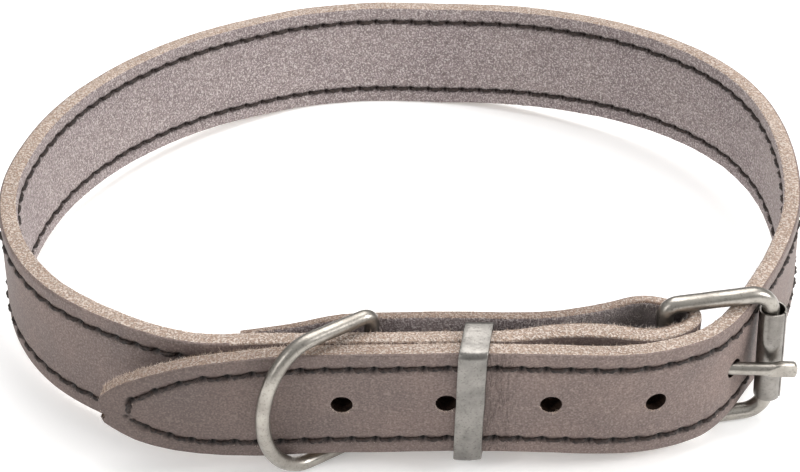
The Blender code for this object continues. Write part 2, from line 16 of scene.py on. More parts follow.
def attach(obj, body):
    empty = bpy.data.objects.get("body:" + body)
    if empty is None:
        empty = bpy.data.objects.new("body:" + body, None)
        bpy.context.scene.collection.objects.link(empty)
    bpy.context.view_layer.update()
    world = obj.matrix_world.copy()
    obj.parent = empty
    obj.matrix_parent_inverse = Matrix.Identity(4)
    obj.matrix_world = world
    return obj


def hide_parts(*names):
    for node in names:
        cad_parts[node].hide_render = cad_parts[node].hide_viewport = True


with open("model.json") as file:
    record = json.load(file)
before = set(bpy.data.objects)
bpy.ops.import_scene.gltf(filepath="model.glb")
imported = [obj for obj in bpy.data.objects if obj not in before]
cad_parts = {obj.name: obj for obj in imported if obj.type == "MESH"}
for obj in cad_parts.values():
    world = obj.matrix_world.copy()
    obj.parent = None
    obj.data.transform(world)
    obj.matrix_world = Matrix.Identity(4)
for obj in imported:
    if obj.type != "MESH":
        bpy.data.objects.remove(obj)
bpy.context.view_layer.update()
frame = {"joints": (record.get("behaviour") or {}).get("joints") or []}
rng = np.random.default_rng(7)
MM = 0.001

# %% [markdown]
# ## Camera
# The collar was pictured with a long lens, from in front and about 34 degrees above the table. A
# long lens keeps the near and the far side of the loop almost the same size. The camera looks at a
# point inside the loop, and a small shift puts the collar where the picture frame has it.

# %% Camera
LENS = 78.93
ABOVE = math.radians(34.186)
AWAY = 0.374645
AIM = Vector((0.00185, -0.00155, 0.01568))
bpy.ops.object.camera_add()
camera = bpy.context.object
camera.name = "camera"
camera.data.sensor_width = 36
camera.data.lens = LENS
camera.data.shift_x = -0.018575
camera.data.shift_y = -0.037738
camera.data.clip_start = 0.01
camera.location = AIM + Vector((0, -AWAY * math.cos(ABOVE), AWAY * math.sin(ABOVE)))
camera.rotation_euler = (math.pi / 2 - ABOVE, 0, 0)
bpy.context.scene.camera = camera
print("camera at", tuple(round(v, 4) for v in camera.location))

# %% [markdown]
# ## Table and light
# A plain pale table runs far behind the collar. One broad soft light hangs above, a little behind,
# so that the cut edges of the leather, which face up, are the palest thing. A weaker one from the
# front right fills the grain side and the inside of the left wall, and a narrow one at the left
# draws the long bright line down the wires.

# %% Table and light
bpy.ops.mesh.primitive_plane_add(size=6.0)
table = bpy.context.object
table.name = "table"
world = bpy.data.worlds.new("pale_room")
bpy.context.scene.world = world
world.use_nodes = True
sky = world.node_tree.nodes["Background"]
sky.inputs["Strength"].default_value = 0.60
above = world.node_tree.nodes.new("ShaderNodeSeparateXYZ")
ramp = world.node_tree.nodes.new("ShaderNodeMapRange")
place = world.node_tree.nodes.new("ShaderNodeTexCoord")
world.node_tree.links.new(place.outputs["Generated"], above.inputs[0])
world.node_tree.links.new(above.outputs["Z"], ramp.inputs["Value"])
ramp.inputs["From Min"].default_value = 0.0
ramp.inputs["From Max"].default_value = 0.55
ramp.inputs["To Min"].default_value = 0.22
ramp.inputs["To Max"].default_value = 1.0
world.node_tree.links.new(ramp.outputs["Result"], sky.inputs["Color"])
bpy.context.scene.view_settings.view_transform = "Standard"


def soft_light(name, place, size, power, colour=(1.0, 1.0, 1.0)):
    """A square area light at a place, turned to the collar."""
    bpy.ops.object.light_add(type="AREA", location=place)
    lamp = bpy.context.object
    lamp.name = name
    lamp.data.shape = "RECTANGLE"
    lamp.data.size, lamp.data.size_y = size
    lamp.data.energy = power
    lamp.data.color = colour
    lamp.rotation_euler = (Vector((0, 0, 0.01)) - Vector(place)).to_track_quat("-Z", "Y").to_euler()


soft_light("light_above", (0.10, 0.22, 0.75), (0.70, 0.60), 5.6, (1.0, 0.985, 0.975))
soft_light("light_right", (0.74, -0.20, 0.40), (0.30, 0.30), 4.6)
soft_light("light_left", (-0.55, -0.45, 0.40), (0.10, 0.45), 1.5)

# %% [markdown]
# ## Nodes and colours
# Each finish below is a small tree of nodes. One helper turns a given colour into the linear
# values that the renderer works in, and one adds a node, sets it up and wires it.

# %% Helpers for finishes


def linear(code):
    """An sRGB colour such as 8f827e as the renderer's linear values."""
    parts = [int(code[i : i + 2], 16) / 255 for i in (0, 2, 4)]
    bent = [p / 12.92 if p <= 0.04045 else ((p + 0.055) / 1.055) ** 2.4 for p in parts]
    return (*bent, 1.0)


def add_node(tree, kind, inputs=None, **settings):
    """One node with its settings. An input is a value, or a socket to link from."""
    made = tree.nodes.new(kind)
    for name, value in settings.items():
        setattr(made, name, value)
    for name, value in (inputs or {}).items():
        if isinstance(value, bpy.types.NodeSocket):
            tree.links.new(value, made.inputs[name])
        else:
            made.inputs[name].default_value = value
    return made


def new_finish(name, **sockets):
    """A material with a Principled shader, whose plain values are set on its own sockets."""
    made = bpy.data.materials.new(name)
    made.use_nodes = True
    shader = made.node_tree.nodes["Principled BSDF"]
    for socket, value in sockets.items():
        shader.inputs[socket.replace("_", " ")].default_value = value
    return made, made.node_tree, shader


def blend_colours(tree, share, first, second):
    """Two colours mixed by a share. Each is a hex code or a socket."""
    mix = tree.nodes.new("ShaderNodeMix")
    mix.data_type = "RGBA"
    for slot, value in ((0, share), (6, first), (7, second)):
        if isinstance(value, bpy.types.NodeSocket):
            tree.links.new(value, mix.inputs[slot])
        else:
            mix.inputs[slot].default_value = linear(value) if isinstance(value, str) else value
    return mix.outputs[2]


def place_on(tree):
    """Where each point lies on its object, so that a pattern sticks to the piece."""
    return add_node(tree, "ShaderNodeTexCoord").outputs["Object"]


def painted(tree, name):
    """The value that the mesh carries under this name."""
    return add_node(tree, "ShaderNodeAttribute", attribute_name=name).outputs["Fac"]


def with_painted_shade_and_mark(tree, tone, painted_shade, shade_and_mark_colour=None):
    """A colour with painted shade: in the fold, its gap and at the tip, and in the stitch holes and
    grooves, plus one small real mark.
    """
    tone = blend_colours(tree, painted(tree, "painted_shade"), tone, painted_shade)
    return blend_colours(tree, painted(tree, "seam_shade_and_mark"), tone, shade_and_mark_colour) if shade_and_mark_colour else tone


def noise(tree, where, size_mm, detail=2.0, rough=0.5):
    """Noise whose blotches are about this many millimetres across."""
    scale = 1000.0 / size_mm / 2
    inputs = {"Vector": where, "Scale": scale, "Detail": detail, "Roughness": rough}
    return add_node(tree, "ShaderNodeTexNoise", inputs).outputs["Fac"]


def spread(tree, value, low, high, to_low=0.0, to_high=1.0):
    """A value stretched from one range to another, and held inside it."""
    inputs = {"Value": value, "From Min": low, "From Max": high, "To Min": to_low, "To Max": to_high}
    return add_node(tree, "ShaderNodeMapRange", inputs).outputs["Result"]


def relief(tree, shader, height, depth_mm, below=None):
    """Bump of this depth in millimetres on the shader, over another bump if there is one."""
    inputs = {"Height": height, "Strength": 1.0, "Distance": depth_mm * MM}
    if below is not None:
        inputs["Normal"] = below
    bump = add_node(tree, "ShaderNodeBump", inputs)
    tree.links.new(bump.outputs["Normal"], shader.inputs["Normal"])
    return bump.outputs["Normal"]


# %% [markdown]
# ## Finish: the table
# Matt white board. It only has to catch a soft shadow under the strap, and a faint light of its own
# keeps that shadow pale, as on a lit photo table.

# %% Finish of the table
board, board_tree, board_shader = new_finish(
    "matt_white_board", Roughness=0.9, Emission_Color=(1.0, 1.0, 1.0, 1.0), Emission_Strength=0.22
)
where = place_on(board_tree)
mottle = spread(board_tree, noise(board_tree, where, 60.0), 0.3, 0.7)
tone = blend_colours(board_tree, mottle, "f6f6f6", "f9f9f8")
board_tree.links.new(tone, board_shader.inputs["Base Color"])
table.data.materials.append(board)
print("table finished")

# %% [markdown]
# ## Finish: grain side of the leather
# Full-grain cowhide, drum-dyed grey-taupe and finished matt. Close up its colour is never even: the
# dye takes in cloudy patches a few millimetres across, and the pores, about 0.6 mm apart, hold a
# little more of it. Low roughness variation keeps it soft, without the shine of a coated leather.
# Beside the stitches the leather is pinched, and its needle holes and grooves are painted dark as
# painted shade, which the mesh carries as an attribute.

# %% Finish of the grain side
grain, tree, shader = new_finish(
    "full_grain_taupe_cowhide",
    Roughness=0.62,
    Specular_IOR_Level=0.35,
)
where = place_on(tree)
clouds = spread(tree, noise(tree, where, 7.0, 3.0), 0.32, 0.68)
specks = spread(tree, noise(tree, where, 0.20, 1.0, 0.5), 0.30, 0.70)
pores = add_node(tree, "ShaderNodeTexVoronoi", {"Vector": where, "Scale": 1000 / 0.62}, feature="F1")
pore = spread(tree, pores.outputs["Distance"], 0.0, 0.45)
tone = blend_colours(tree, clouds, "6d5f5b", "806f69")
tone = blend_colours(tree, spread(tree, specks, 0.15, 0.85, 0.0, 0.44), tone, "463b36")
light_specks = spread(tree, noise(tree, where, 0.18, 0.0), 0.50, 0.72, 0.0, 0.30)
tone = blend_colours(tree, light_specks, tone, "a8988f")
# Colour 0f0907 is painted shade in the stitch holes and grooves, and the colour of one small real mark
# near the tip.
# Painted shade in colour 4a3f3b darkens the grain towards the tip.
tree.links.new(with_painted_shade_and_mark(tree, tone, "4a3f3b", "0f0907"), shader.inputs["Base Color"])
rough = spread(tree, clouds, 0.0, 1.0, 0.56, 0.70)
tree.links.new(rough, shader.inputs["Roughness"])
flat_map = add_node(tree, "ShaderNodeUVMap", uv_map="flat").outputs["UV"]


def streaks(squeeze, scale, detail, distortion):
    """Noise on the flat map, drawn out across the strap."""
    drawn = add_node(tree, "ShaderNodeMapping", {"Vector": flat_map, "Scale": (1.0, squeeze, 1.0)})
    inputs = {"Vector": drawn.outputs["Vector"], "Scale": scale, "Detail": detail}
    return add_node(tree, "ShaderNodeTexNoise", {**inputs, "Distortion": distortion}).outputs["Fac"]


# Fine creases run across the strap, where it was drawn through the keeper and the buckle
crease = spread(tree, streaks(0.16, 62.0, 3.0, 0.6), 0.46, 0.54)
first = relief(tree, shader, crease, 0.022)
second = relief(tree, shader, pore, 0.022, first)
third = relief(tree, shader, specks, 0.018, second)
# Where the keeper has rubbed, fine wrinkles run down the strap. One unit of the flat map is 100 mm.
RUBBED_AT = 0.735
along_strap = add_node(tree, "ShaderNodeSeparateXYZ", {"Vector": flat_map}).outputs["X"]
off = add_node(tree, "ShaderNodeMath", {0: along_strap, 1: RUBBED_AT}, operation="SUBTRACT").outputs[0]
off = add_node(tree, "ShaderNodeMath", {0: off}, operation="ABSOLUTE").outputs[0]
rubbed = spread(tree, off, 0.038, 0.010)
lines = spread(tree, streaks(0.22, 120.0, 2.0, 1.2), 0.40, 0.56)
wrinkle = add_node(tree, "ShaderNodeMath", {0: lines, 1: rubbed}, operation="MULTIPLY").outputs[0]
relief(tree, shader, wrinkle, 0.26, third)
print("finish", grain.name)

# %% [markdown]
# ## Finish: flesh side
# The inside of the strap was never coated: it is the split surface of the hide, a short felt of
# fibres like suede. It scatters light, so it looks paler and dustier than the grain side and has
# no shine. Sheen gives the pale look at a slant, and coarse bump the clumps of nap.

# %% Finish of the flesh side
flesh, tree, shader = new_finish(
    "napped_flesh_side",
    Roughness=0.95,
    Specular_IOR_Level=0.15,
    Sheen_Weight=0.25,
    Sheen_Roughness=0.5,
    Sheen_Tint=linear("d8cfc9"),
)
where = place_on(tree)
clumps = spread(tree, noise(tree, where, 0.55, 3.0, 0.65), 0.30, 0.70)
nap = spread(tree, noise(tree, where, 0.20, 1.0, 0.6), 0.30, 0.70)
patches = spread(tree, noise(tree, where, 9.0, 2.0), 0.35, 0.65)
tone = blend_colours(tree, patches, "8c8080", "968a88")
tone = blend_colours(tree, spread(tree, clumps, 0.1, 0.9, 0.0, 0.66), tone, "5f5454")
tone = blend_colours(tree, spread(tree, nap, 0.42, 0.95, 0.0, 0.75), tone, "cdc3c0")
# Colour 1b1210 is painted shade in the stitch holes and grooves.
# Painted shade in colour 7a7170 darkens the flesh side inside the fold and in the gap before it.
tree.links.new(with_painted_shade_and_mark(tree, tone, "7a7170", "1b1210"), shader.inputs["Base Color"])
first = relief(tree, shader, clumps, 0.16)
relief(tree, shader, nap, 0.12, first)
print("finish", flesh.name)

# %% [markdown]
# ## Finish: cut edge
# The strap was cut with a knife and left raw. The dye reached only the skin, so the middle of the
# hide shows its own tan colour, as a dense tangle of fibres with pale ends and dark gaps.

# %% Finish of the cut edge
edge, tree, shader = new_finish(
    "raw_cut_edge",
    Roughness=0.92,
    Specular_IOR_Level=0.15,
    Sheen_Weight=0.15,
    Sheen_Tint=linear("f0e2d4"),
)
where = place_on(tree)
tangle = spread(tree, noise(tree, where, 0.30, 3.0, 0.75), 0.34, 0.66)
ends = spread(tree, noise(tree, where, 0.20, 1.0), 0.35, 0.65)
long_tone = spread(tree, noise(tree, where, 12.0, 2.0), 0.35, 0.65)
tone = blend_colours(tree, long_tone, "b09a8a", "bfa999")
tone = blend_colours(tree, spread(tree, tangle, 0.1, 0.9, 0.0, 0.70), tone, "806d62")
tone = blend_colours(tree, spread(tree, ends, 0.40, 0.9, 0.0, 0.60), tone, "e8ddd4")
# Painted shade in colour 5a463b darkens the cut edges of the fold-back and near the tip.
tree.links.new(with_painted_shade_and_mark(tree, tone, "5a463b"), shader.inputs["Base Color"])
first = relief(tree, shader, tangle, 0.20)
relief(tree, shader, ends, 0.14, first)
print("finish", edge.name)

# %% [markdown]
# ## Finish: walls of the punched holes
# The walls of the punched holes, of the slot and of the tongue's way are painted nearly black: painted
# shade inside them.

# %% Finish of the hole walls
shaded_hole_wall, tree, shader = new_finish("punched_wall_painted_shade", Roughness=0.95, Specular_IOR_Level=0.1)
where = place_on(tree)
tangle = spread(tree, noise(tree, where, 0.5, 3.0, 0.7), 0.35, 0.68)
tree.links.new(blend_colours(tree, tangle, "17100d", "35271f"), shader.inputs["Base Color"])
relief(tree, shader, tangle, 0.20)
print("finish", shaded_hole_wall.name)

# %% [markdown]
# ## Finish: thread and fluff
# The seams are dark brown waxed polyester thread, two plies twisted together. The fluff is loose
# leather fibre, pale and almost without shine.

# %% Finish of thread and fluff
thread, tree, shader = new_finish("waxed_brown_thread", Roughness=0.6, Specular_IOR_Level=0.4)
where = place_on(tree)
fuzz = spread(tree, noise(tree, where, 0.25, 2.0, 0.6), 0.35, 0.68)
tone = blend_colours(tree, fuzz, "120b09", "3a2c26")
tree.links.new(tone, shader.inputs["Base Color"])
relief(tree, shader, fuzz, 0.05)


def loose_fibre(name, dark, pale):
    """Fibre without shine, between two colours."""
    made, tree, shader = new_finish(name, Roughness=0.9, Specular_IOR_Level=0.15)
    share = spread(tree, noise(tree, place_on(tree), 1.2), 0.35, 0.65)
    tree.links.new(blend_colours(tree, share, dark, pale), shader.inputs["Base Color"])
    return made


fluff = loose_fibre("loose_leather_fibre", "a8917f", "e0cfc2")
dark_fluff = loose_fibre("grey_nap_fibre", "5a5352", "c4bbb3")
print("finish", thread.name, fluff.name, dark_fluff.name)

# %% [markdown]
# ## Finish: nickel plate
# The buckle and the ring are bent steel wire, tumbled and nickel-plated to a satin. The plate is
# a warm pale grey; it reflects softly, with tiny dark pits and rubbed patches where it has
# tarnished. The keeper's plate is darker and a little rougher, with more pits.

# %% Finish of the metal


def nickel_plate(name, pale, dark, rough_low, rough_high, pits):
    """Satin nickel on steel, with tarnish in clouds and pits of a few tenths of a millimetre."""
    made, tree, shader = new_finish(name, Metallic=1.0)
    where = place_on(tree)
    cloud = spread(tree, noise(tree, where, 2.6, 4.0, 0.6), 0.35, 0.68)
    fine = spread(tree, noise(tree, where, 0.35, 2.0, 0.6), 0.30, 0.70)
    spots = spread(tree, noise(tree, where, 0.22, 1.0, 0.5), 0.55, 0.75, 0.0, pits)
    tone = blend_colours(tree, cloud, pale, dark)
    tone = blend_colours(tree, spots, tone, "4a4742")
    tree.links.new(tone, shader.inputs["Base Color"])
    rough = spread(tree, cloud, 0.0, 1.0, rough_low, rough_high)
    tree.links.new(rough, shader.inputs["Roughness"])
    first = relief(tree, shader, fine, 0.010)
    relief(tree, shader, cloud, 0.03, first)
    return made


wire_nickel = nickel_plate("satin_nickel_wire", "aaa59d", "8c8780", 0.30, 0.44, 0.35)
roller_nickel = nickel_plate("rolled_nickel_sheet", "938f8a", "75716c", 0.30, 0.46, 0.35)
keeper_nickel = nickel_plate("tumbled_nickel_band", "8d8a85", "6c6966", 0.30, 0.46, 0.45)
print("finish", wire_nickel.name, roller_nickel.name, keeper_nickel.name)

# %% [markdown]
# ## The way of the strap
# Seen from above, the strap goes from the tip of its free end along the front, through the
# buckle, once round the neck, back behind the free end, round the buckle's heel bar and ends as the
# fold-back inside. The rows below are the same ones that shape the solid: each gives a place as
# shares of the collar's half width and half depth, how many layers inwards it lies, how far its
# lower edge is off the table, how far the upper edge leans out, its thickness and its height.

# %% Rows along the strap
WIDTH = 25.0 * MM
THICK = 3.5 * MM
HALF_ACROSS = 83.0 * MM
HALF_DEPTH = 74.0 * MM
WIRE = 3.2 * MM
GAP = 0.3 * MM
RISE = WIRE + GAP
SHIFT = Vector((0, -1.3 * MM, 0))
FOLD_CENTRE = (0.6024 * HALF_ACROSS, -0.8340 * HALF_DEPTH + 2.17 * THICK)
HEEL = (FOLD_CENTRE[0] - 1.4 * MM, FOLD_CENTRE[1])
OUTER_BAR = (0.8301 * HALF_ACROSS, -0.6784 * HALF_DEPTH)
# Each part of the way has a name, the layers inwards, and rows of across, back, lift, lean, thick
TO_FOLD = [
    ("tip", 0.000, [
        (-0.6720, -0.8650, 0.721, 0.046, 0.92),
        (-0.6685, -0.8655, 0.721, 0.046, 0.97),
        (-0.6500, -0.8680, 0.721, 0.048, 0.99),
        (-0.6280, -0.8710, 0.736, 0.050, 1.00),
        (-0.6000, -0.8760, 0.757, 0.052, 1.00),
        (-0.5600, -0.8800, 0.793, 0.055, 1.00),
        (-0.5120, -0.8820, 0.843, 0.058, 1.00),
        (-0.4600, -0.8825, 0.900, 0.062, 1.00),
        (-0.4100, -0.8825, 0.950, 0.066, 1.00),
        (-0.3200, -0.8810, 1.050, 0.073, 1.00),
    ]),
    ("free end", 0.000, [
        (-0.2300, -0.8800, 1.207, 0.081, 1.00),
        (-0.1400, -0.8810, 1.300, 0.087, 1.00),
        (-0.0300, -0.8820, 1.350, 0.088, 1.00),
        (0.1000, -0.8810, 1.400, 0.088, 1.00),
        (0.2200, -0.8815, 1.386, 0.088, 1.00),
        (0.3300, -0.8815, 1.314, 0.086, 1.00),
        (0.4420, -0.8780, 1.171, 0.080, 1.00),
        (0.5310, -0.8620, 1.050, 0.070, 1.00),
        (0.6090, -0.8302, 0.957, 0.058, 1.00),
        (0.6700, -0.7915, 0.907, 0.050, 1.00),
    ]),
    ("buckle side", 0.000, [
        (0.7260, -0.7306, 1.014, 0.040, 0.97),
        (0.7770, -0.6423, 1.021, 0.027, 0.97),
    ]),
    ("right", 0.000, [
        (0.8330, -0.5350, 1.007, 0.010, 0.98),
        (0.8920, -0.3980, 0.893, -0.015, 1.00),
        (0.9410, -0.2500, 0.864, -0.040, 1.00),
        (0.9690, -0.0870, 0.893, -0.065, 1.00),
        (0.9740, 0.0900, 1.079, -0.081, 1.00),
        (0.9510, 0.2600, 1.300, -0.082, 1.00),
        (0.8940, 0.4150, 1.464, -0.072, 1.00),
    ]),
    ("back", 0.000, [
        (0.8110, 0.5420, 1.521, -0.050, 1.00),
        (0.7040, 0.6560, 1.457, -0.022, 1.00),
        (0.5840, 0.7530, 1.264, 0.014, 1.00),
        (0.4550, 0.8360, 0.950, 0.049, 1.00),
        (0.3120, 0.9070, 0.557, 0.080, 1.00),
        (0.1900, 0.9470, 0.236, 0.096, 1.00),
    ]),
    ("rests", 0.000, [
        (0.0900, 0.9680, 0.029, 0.102, 1.00),
        (0.0100, 0.9770, 0.000, 0.102, 1.00),
        (-0.0700, 0.9795, 0.000, 0.098, 1.00),
        (-0.1500, 0.9740, 0.000, 0.091, 1.00),
        (-0.2200, 0.9610, 0.000, 0.083, 1.00),
    ]),
    ("back", 0.000, [
        (-0.3000, 0.9370, 0.050, 0.070, 1.00),
        (-0.4200, 0.8690, 0.229, 0.043, 1.00),
    ]),
    ("left", 0.000, [
        (-0.5560, 0.7660, 0.521, 0.011, 1.03),
        (-0.6740, 0.6450, 0.786, -0.016, 1.03),
        (-0.7820, 0.5000, 1.007, -0.038, 1.03),
        (-0.8680, 0.3470, 1.121, -0.050, 1.03),
        (-0.9300, 0.1900, 1.136, -0.054, 1.03),
        (-0.9670, 0.0280, 1.079, -0.051, 1.03),
        (-0.9800, -0.1455, 1.020, -0.042, 1.03),
        (-0.9520, -0.3250, 0.930, -0.030, 1.03),
        (-0.8860, -0.4840, 0.830, -0.016, 1.03),
    ]),
    ("front", 0.000, [
        (-0.7950, -0.6070, 0.765, -0.003, 1.03),
        (-0.6820, -0.7020, 0.750, 0.010, 1.01),
        (-0.5600, -0.7800, 0.843, 0.028, 0.98),
        (-0.4400, -0.8230, 0.971, 0.048, 0.98),
    ]),
    ("middle layer", 0.914, [
        (-0.3300, -0.8695, 1.129, 0.066, 0.95),
        (-0.2200, -0.8736, 1.257, 0.081, 0.86),
        (-0.0720, -0.8766, 1.386, 0.088, 0.86),
        (0.0700, -0.8761, 1.414, 0.088, 0.86),
        (0.1650, -0.8750, 1.407, 0.088, 0.88),
        (0.2300, -0.8703, 1.386, 0.086, 0.95),
        (0.2890, -0.8567, 1.329, 0.082, 1.05),
        (0.3520, -0.8432, 1.264, 0.076, 1.12),
        (0.4200, -0.8381, 1.164, 0.068, 1.15),
        (0.4820, -0.8429, 1.043, 0.060, 1.10),
        (0.5400, -0.8499, 1.021, 0.052, 1.00),
        (0.5860, -0.8351, 1.007, 0.044, 0.90),
    ]),
]
FROM_FOLD = [
    ("fold-back", 2.200, [
        (0.5360, -0.7721, 1.036, -0.048, 0.70),
        (0.4760, -0.7921, 1.086, -0.058, 0.66),
        (0.4100, -0.8191, 1.171, -0.068, 0.63),
        (0.3370, -0.8421, 1.279, -0.076, 0.62),
        (0.2410, -0.8541, 1.386, -0.084, 0.61),
        (0.1450, -0.8536, 1.436, -0.088, 0.60),
        (0.0480, -0.8534, 1.429, -0.088, 0.58),
        (-0.0360, -0.8554, 1.429, -0.088, 0.57),
        (-0.1000, -0.8549, 1.386, -0.087, 0.55),
        (-0.1650, -0.8634, 1.329, -0.084, 0.51),
        (-0.2300, -0.8831, 1.271, -0.079, 0.43),
        (-0.3000, -0.8991, 1.193, -0.070, 0.34),
    ]),
    ("skived end", 2.200, [
        (-0.3600, -0.9091, 1.136, -0.062, 0.24),
    ]),
]
# The tip's rows are lower than the strap is wide. This is their share of its width.
TIP_TALL = [0.16, 0.24, 0.35, 0.46, 0.57, 0.69, 0.79, 0.87, 0.925, 0.985]



def rows_of(parts):
    """Every row of these parts as across, back, layer, lift, lean and thick."""
    return [(*row[:2], layer, *row[2:]) for _, layer, rows in parts for row in rows]


def fold_rows():
    """The rows of the tight bend round the buckle's heel bar."""
    radius = WIRE / 2 + GAP + 0.77 * THICK / 2
    rows = []
    for degrees in (-56, -32, -8, 16, 40, 64, 88):
        turn = math.radians(degrees)
        across = (FOLD_CENTRE[0] + radius * math.cos(turn)) / HALF_ACROSS
        back = (FOLD_CENTRE[1] + radius * math.sin(turn)) / HALF_DEPTH
        rows.append((across, back, 0.0, 1.014, -0.04 * math.sin(turn), 0.77))
    return rows


def spline(at, values, wanted):
    """A natural cubic spline through the values, read at the wanted places."""
    count = len(at)
    step = np.diff(at)
    slope = np.diff(values, axis=0) / step[:, None]
    system = np.eye(count)
    right = np.zeros_like(values)
    for i in range(1, count - 1):
        system[i, i - 1 : i + 2] = step[i - 1], 2 * (step[i - 1] + step[i]), step[i]
        right[i] = 6 * (slope[i] - slope[i - 1])
    bend = np.linalg.solve(system, right)
    i = np.clip(np.searchsorted(at, wanted, side="right") - 1, 0, count - 2)
    h = step[i][:, None]
    a = (at[i + 1] - wanted)[:, None] / h
    b = (wanted - at[i])[:, None] / h
    straight = a * values[i] + b * values[i + 1]
    return straight + ((a**3 - a) * bend[i] + (b**3 - b) * bend[i + 1]) * h**2 / 6


values = np.array(rows_of(TO_FOLD) + fold_rows() + rows_of(FROM_FOLD))
tall = np.ones(len(values))
tall[: len(TIP_TALL)] = TIP_TALL
values = np.column_stack([values, tall])
values *= [HALF_ACROSS, HALF_DEPTH, THICK, RISE, WIDTH, THICK, WIDTH]
values[:, 1] += values[:, 2]
values = np.delete(values, 2, axis=1)
at = np.concatenate([[0], np.cumsum(np.hypot(*np.diff(values[:, :2], axis=0).T))])
fine = np.linspace(0, at[-1], 8001)
WAY = spline(at, values, fine)
for column in (2, 4, 5):
    WAY[:, column] = np.interp(fine, at, values[:, column])
ALONG = np.concatenate([[0], np.cumsum(np.hypot(*np.diff(WAY[:, :2], axis=0).T))])
LENGTH = ALONG[-1]
ahead = np.gradient(WAY[:, :2], axis=0)
ahead /= np.hypot(ahead[:, 0], ahead[:, 1])[:, None]
OUT = np.stack([ahead[:, 1], -ahead[:, 0]], axis=1)
print("strap", round(LENGTH / MM), "mm long")


def read_way(u):
    """x, y, lift, lean, thickness, height and the outward direction, at distances from the tip."""
    found = [np.interp(u, ALONG, WAY[:, k]) for k in range(6)]
    return found, np.interp(u, ALONG, OUT[:, 0]), np.interp(u, ALONG, OUT[:, 1])


def wrap(u, side, up):
    """Places on the flat strap, bent to where the strap really is. side is in flat thickness."""
    (x, y, lift, lean, thick, _), out_x, out_y = read_way(u)
    push = side * thick / THICK + lean * up / WIDTH
    across = x + out_x * push
    back = y + out_y * push + SHIFT.y
    return np.stack([across, back, lift + WIDTH / 2 + up], axis=1)


def half_height(u):
    """Half the strap's width at distances from the tip: the tip is cut to a blunt point."""
    return np.interp(u, ALONG, WAY[:, 5]) / 2


# %% [markdown]
# ## Where the stitches go
# Each seam runs 3.6 mm inside its edge, with a hole every 4.4 mm. At the tip both seams turn in and
# meet in one hole. The list of holes is worked out first, because the leather is dented at each
# hole, and because the thread has to come up through exactly these places.

# %% Stitch holes
PITCH = 4.4 * MM
MARGIN = 3.6 * MM
FIRST = 6.4 * MM
TIP_HOLE = (5.2 * MM, -1.1 * MM)
TOP_NEAR_TIP = np.array([(0, 1.2), (5.2, 2.4), (6.4, 2.9), (10.8, 5.2), (15.2, 6.9), (19.6, 8.0)]) * MM
LOW_NEAR_TIP = np.array([(0, 1.2), (5.2, 2.6), (8.4, 3.7), (12.4, 5.8), (16.3, 7.2), (20.3, 8.0)]) * MM


def seam_height(u, upper):
    """How far the seam lies from the middle line, at distances from the tip."""
    near_tip = TOP_NEAR_TIP if upper else LOW_NEAR_TIP
    plain = half_height(u) - MARGIN
    end = near_tip[-1, 0]
    near = np.interp(u, near_tip[:, 0], near_tip[:, 1])
    mix = np.clip((u - end) / (5 * MM), 0, 1)
    return near * (1 - mix) + plain * mix


def slip(u):
    """The lower seam's holes lie a little further on than the upper ones near the tip."""
    places = np.array([0, 6.4, 10.8, 15.2, 19.6, 24, 28]) * MM
    return np.interp(u, places, np.array([1, 2, 1.7, 1.2, 0.7, 0.3, 0]) * MM)


HOLE_COUNT = int((LENGTH - FIRST - 4 * MM) / PITCH)
columns = FIRST + PITCH * np.arange(HOLE_COUNT)
heel_gap = np.hypot(WAY[:, 0] - FOLD_CENTRE[0], WAY[:, 1] - FOLD_CENTRE[1]) + (ALONG < LENGTH / 2)
FOLD_AT = float(ALONG[np.argmin(heel_gap)])
holes = {}
for upper in (True, False):
    u = columns + (0 if upper else slip(columns))
    height = seam_height(u, upper) * (1 if upper else -1)
    holes[upper] = np.stack([u, height], axis=1)
print("stitch holes", 2 * HOLE_COUNT, "fold at", round(FOLD_AT / MM), "mm")

# %% [markdown]
# ## The strap, flat
# A strap is easiest to shape while it lies flat. A grid is added, one column for each place where
# the stitching needs one, and made thick. The rim is divided into loops, which
# round the corners. Then every point is moved to its true flat place: the tip is drawn in, the
# leather is pinched along the seams, dented at each needle hole and left a little uneven at the
# cut. The flat place is kept as a UV map, so that creases can follow the leather.

# %% Flat sheet
STEPS = np.array([0, 0.09, 0.3, 0.5, 0.7, 0.91])
u_lines = np.concatenate([FIRST - PITCH + PITCH * (k + STEPS) for k in range(HOLE_COUNT + 1)])
u_lines = np.concatenate([[0, 0.6 * MM, 1.2 * MM], u_lines[u_lines > 1.6 * MM]])
u_lines = np.concatenate([u_lines[u_lines < LENGTH - 1 * MM], [LENGTH]])
side_lines = [12.5, 11.6, 10.6, 9.9, 9.35, 8.9, 8.45, 7.9, 7.1, 5.8, 4.4, 3.2, 2.3, 1.2, 0]
side_lines = np.array(side_lines) * MM
v_lines = np.concatenate([-side_lines, side_lines[:-1][::-1]])


def deselect_all():
    bpy.ops.object.select_all(action="DESELECT")


def activate(obj):
    """This object alone selected, and active."""
    deselect_all()
    obj.select_set(True)
    bpy.context.view_layer.objects.active = obj


def apply_modifier(obj, name, kind, **settings):
    """A modifier with these settings, made part of the active object's mesh at once."""
    made = obj.modifiers.new(name, kind)
    for key, value in settings.items():
        setattr(made, key, value)
    bpy.ops.object.modifier_apply(modifier=made.name)


def divide_edges(obj, chosen, cuts):
    """New rings of edges across the chosen edges. The object is left in edit mode."""
    bpy.ops.object.mode_set(mode="EDIT")
    bpy.ops.mesh.select_mode(type="EDGE")
    bpy.ops.mesh.select_all(action="DESELECT")
    bpy.ops.object.mode_set(mode="OBJECT")
    obj.data.edges.foreach_set("select", chosen)
    bpy.ops.object.mode_set(mode="EDIT")
    bpy.ops.mesh.subdivide_edgering(number_cuts=cuts, interpolation="LINEAR", smoothness=0.0)


